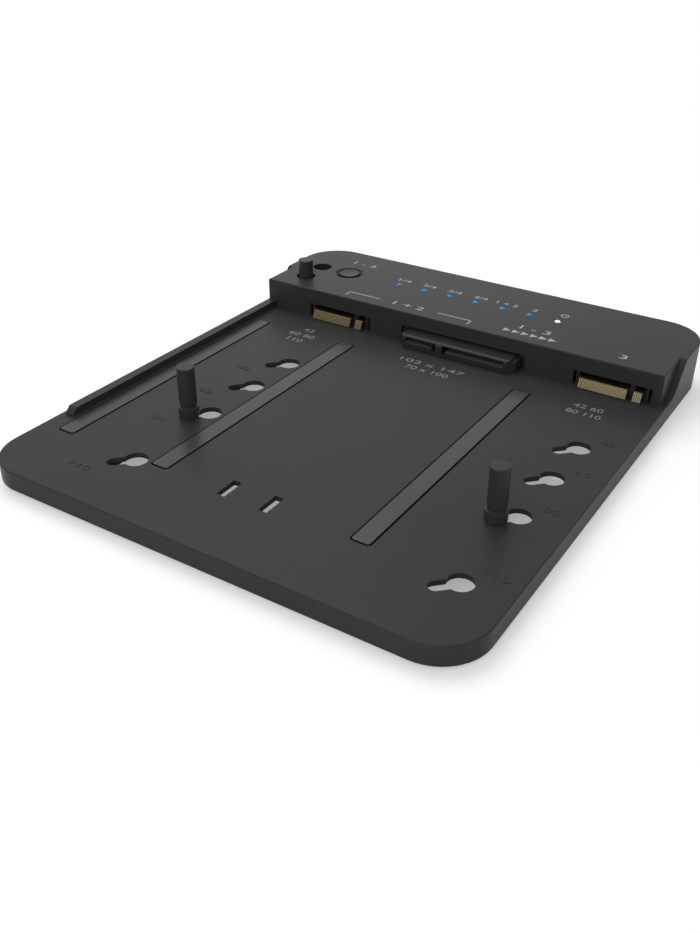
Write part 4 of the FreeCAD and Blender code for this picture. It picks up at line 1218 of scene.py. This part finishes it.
# ---- studio ---------------------------------------------------------------------------------------
@dataclass
class Studio:
    """Pale table and backdrop, soft lamps and the camera."""

    eye: Triple = (0.12961, -0.21574, 0.14023)
    azimuth: float = math.radians(32.588)
    elevation: float = math.radians(31.626)
    roll: float = math.radians(0.171)
    lens: float = 38.353
    table_size: float = 6.0
    show_through: float = 0.35
    shadow_reach: float = 0.24
    white_from: float = 0.60
    sky: float = 0.55
    paint_levels: Ring = (0.90, 0.93)
    paint_cloud: float = 0.4
    # Name, place, width and power of each lamp.
    lamps: tuple = (("key", (-0.35, 0.25, 0.80), 0.6, 4.5), ("rim", (-0.62, 0.80, 0.42), 0.8, 0.6),
                    ("fill", (0.10, -0.75, 0.45), 0.6, 3.0))

    def rays(self, graph: Graph) -> Wire:
        """One for rays that show the background: seen, mirrored or passed through."""
        seen = graph.node("ShaderNodeLightPath", out="Is Camera Ray")
        mirrored = graph.node("ShaderNodeLightPath", out="Is Glossy Ray")
        passed = graph.node("ShaderNodeLightPath", out="Is Transmission Ray")
        return graph.node("ShaderNodeMath", {"operation": "MINIMUM"}, {0: seen + mirrored + passed, 1: 1.0})

    def table(self) -> None:
        """White table that keeps a faint shadow near the dock and is plain white further off."""
        Bench.clear()
        bpy.ops.mesh.primitive_plane_add(size=self.table_size)
        top = Bench.named("table_top")
        made = bpy.data.materials.new("table_white")
        graph = Graph(made, "ShaderNodeOutputMaterial")
        cloud = graph.noise(self.paint_cloud, 2.0)
        low, high = self.paint_levels
        paint = graph.node("ShaderNodeBsdfDiffuse",
                           inputs={"Color": graph.blend(cloud, grey(low), grey(high))})
        light = graph.node("ShaderNodeEmission", inputs={"Color": grey(1.0), "Strength": 1.0})
        away = graph.node("ShaderNodeVectorMath", {"operation": "LENGTH"}, {0: graph.place()}, "Value")
        through = graph.node("ShaderNodeMapRange", {"interpolation_type": "SMOOTHSTEP"}, {
            "Value": away, "From Min": self.shadow_reach, "From Max": self.white_from,
            "To Min": self.show_through, "To Max": 1.0})
        share = self.rays(graph) * through
        graph.end(graph.node("ShaderNodeMixShader", inputs={0: share, 1: paint, 2: light}))
        top.data.materials.append(made)

    def world(self) -> None:
        """White surroundings that light the dock a little less than they show."""
        surround = bpy.data.worlds.new("surround")
        bpy.context.scene.world = surround
        graph = Graph(surround, "ShaderNodeOutputWorld")
        strength = self.rays(graph) * (1.0 - self.sky) + self.sky
        graph.end(graph.node("ShaderNodeBackground", inputs={"Color": grey(1.0), "Strength": strength}))

    def lamp(self, name: str, at: Triple, size: float, power: float) -> None:
        """Hang a square soft lamp that faces the dock."""
        light = bpy.data.lights.new(name, "AREA")
        light.size = size
        light.energy = power
        lamp = bpy.data.objects.new(name, light)
        bpy.context.scene.collection.objects.link(lamp)
        lamp.location = at
        lamp.rotation_euler = Vector(at).to_track_quat("Z", "Y").to_euler()

    def camera(self) -> None:
        """Look at the dock from its front right."""
        back = Vector((math.sin(self.azimuth) * math.cos(self.elevation),
                       -math.cos(self.azimuth) * math.cos(self.elevation), math.sin(self.elevation)))
        right = Vector((0, 0, 1)).cross(back).normalized()
        up = back.cross(right)
        c, s = math.cos(self.roll), math.sin(self.roll)
        turn = Matrix((c * right + s * up, c * up - s * right, back)).transposed()
        data = bpy.data.cameras.new("view")
        data.lens = self.lens
        data.sensor_width = 36.0
        data.clip_start = 0.005
        camera = bpy.data.objects.new("view", data)
        bpy.context.scene.collection.objects.link(camera)
        camera.matrix_world = Matrix.Translation(self.eye) @ turn.to_4x4()
        bpy.context.scene.camera = camera

    def build(self) -> None:
        """Set the table, the surroundings, the lamps and the camera."""
        bpy.context.scene.view_settings.view_transform = "Standard"
        self.table()
        self.world()
        for name, at, size, power in self.lamps:
            self.lamp(name, at, size, power)
        self.camera()


def main() -> None:
    """Build, dress and stage the dock."""
    logging.basicConfig(level=logging.INFO, format="%(message)s")
    finishes = Finishes()
    for part in (Casing(), CardPins(), Strips(), Feet(), CoverScrews(), CardSockets(), DriveSocket(),
                 Lights(), Keys(), RearPorts(), Board(), Lettering(Datum())):
        part.build(finishes)
    Studio().build()


if __name__ == "__main__":
    main()
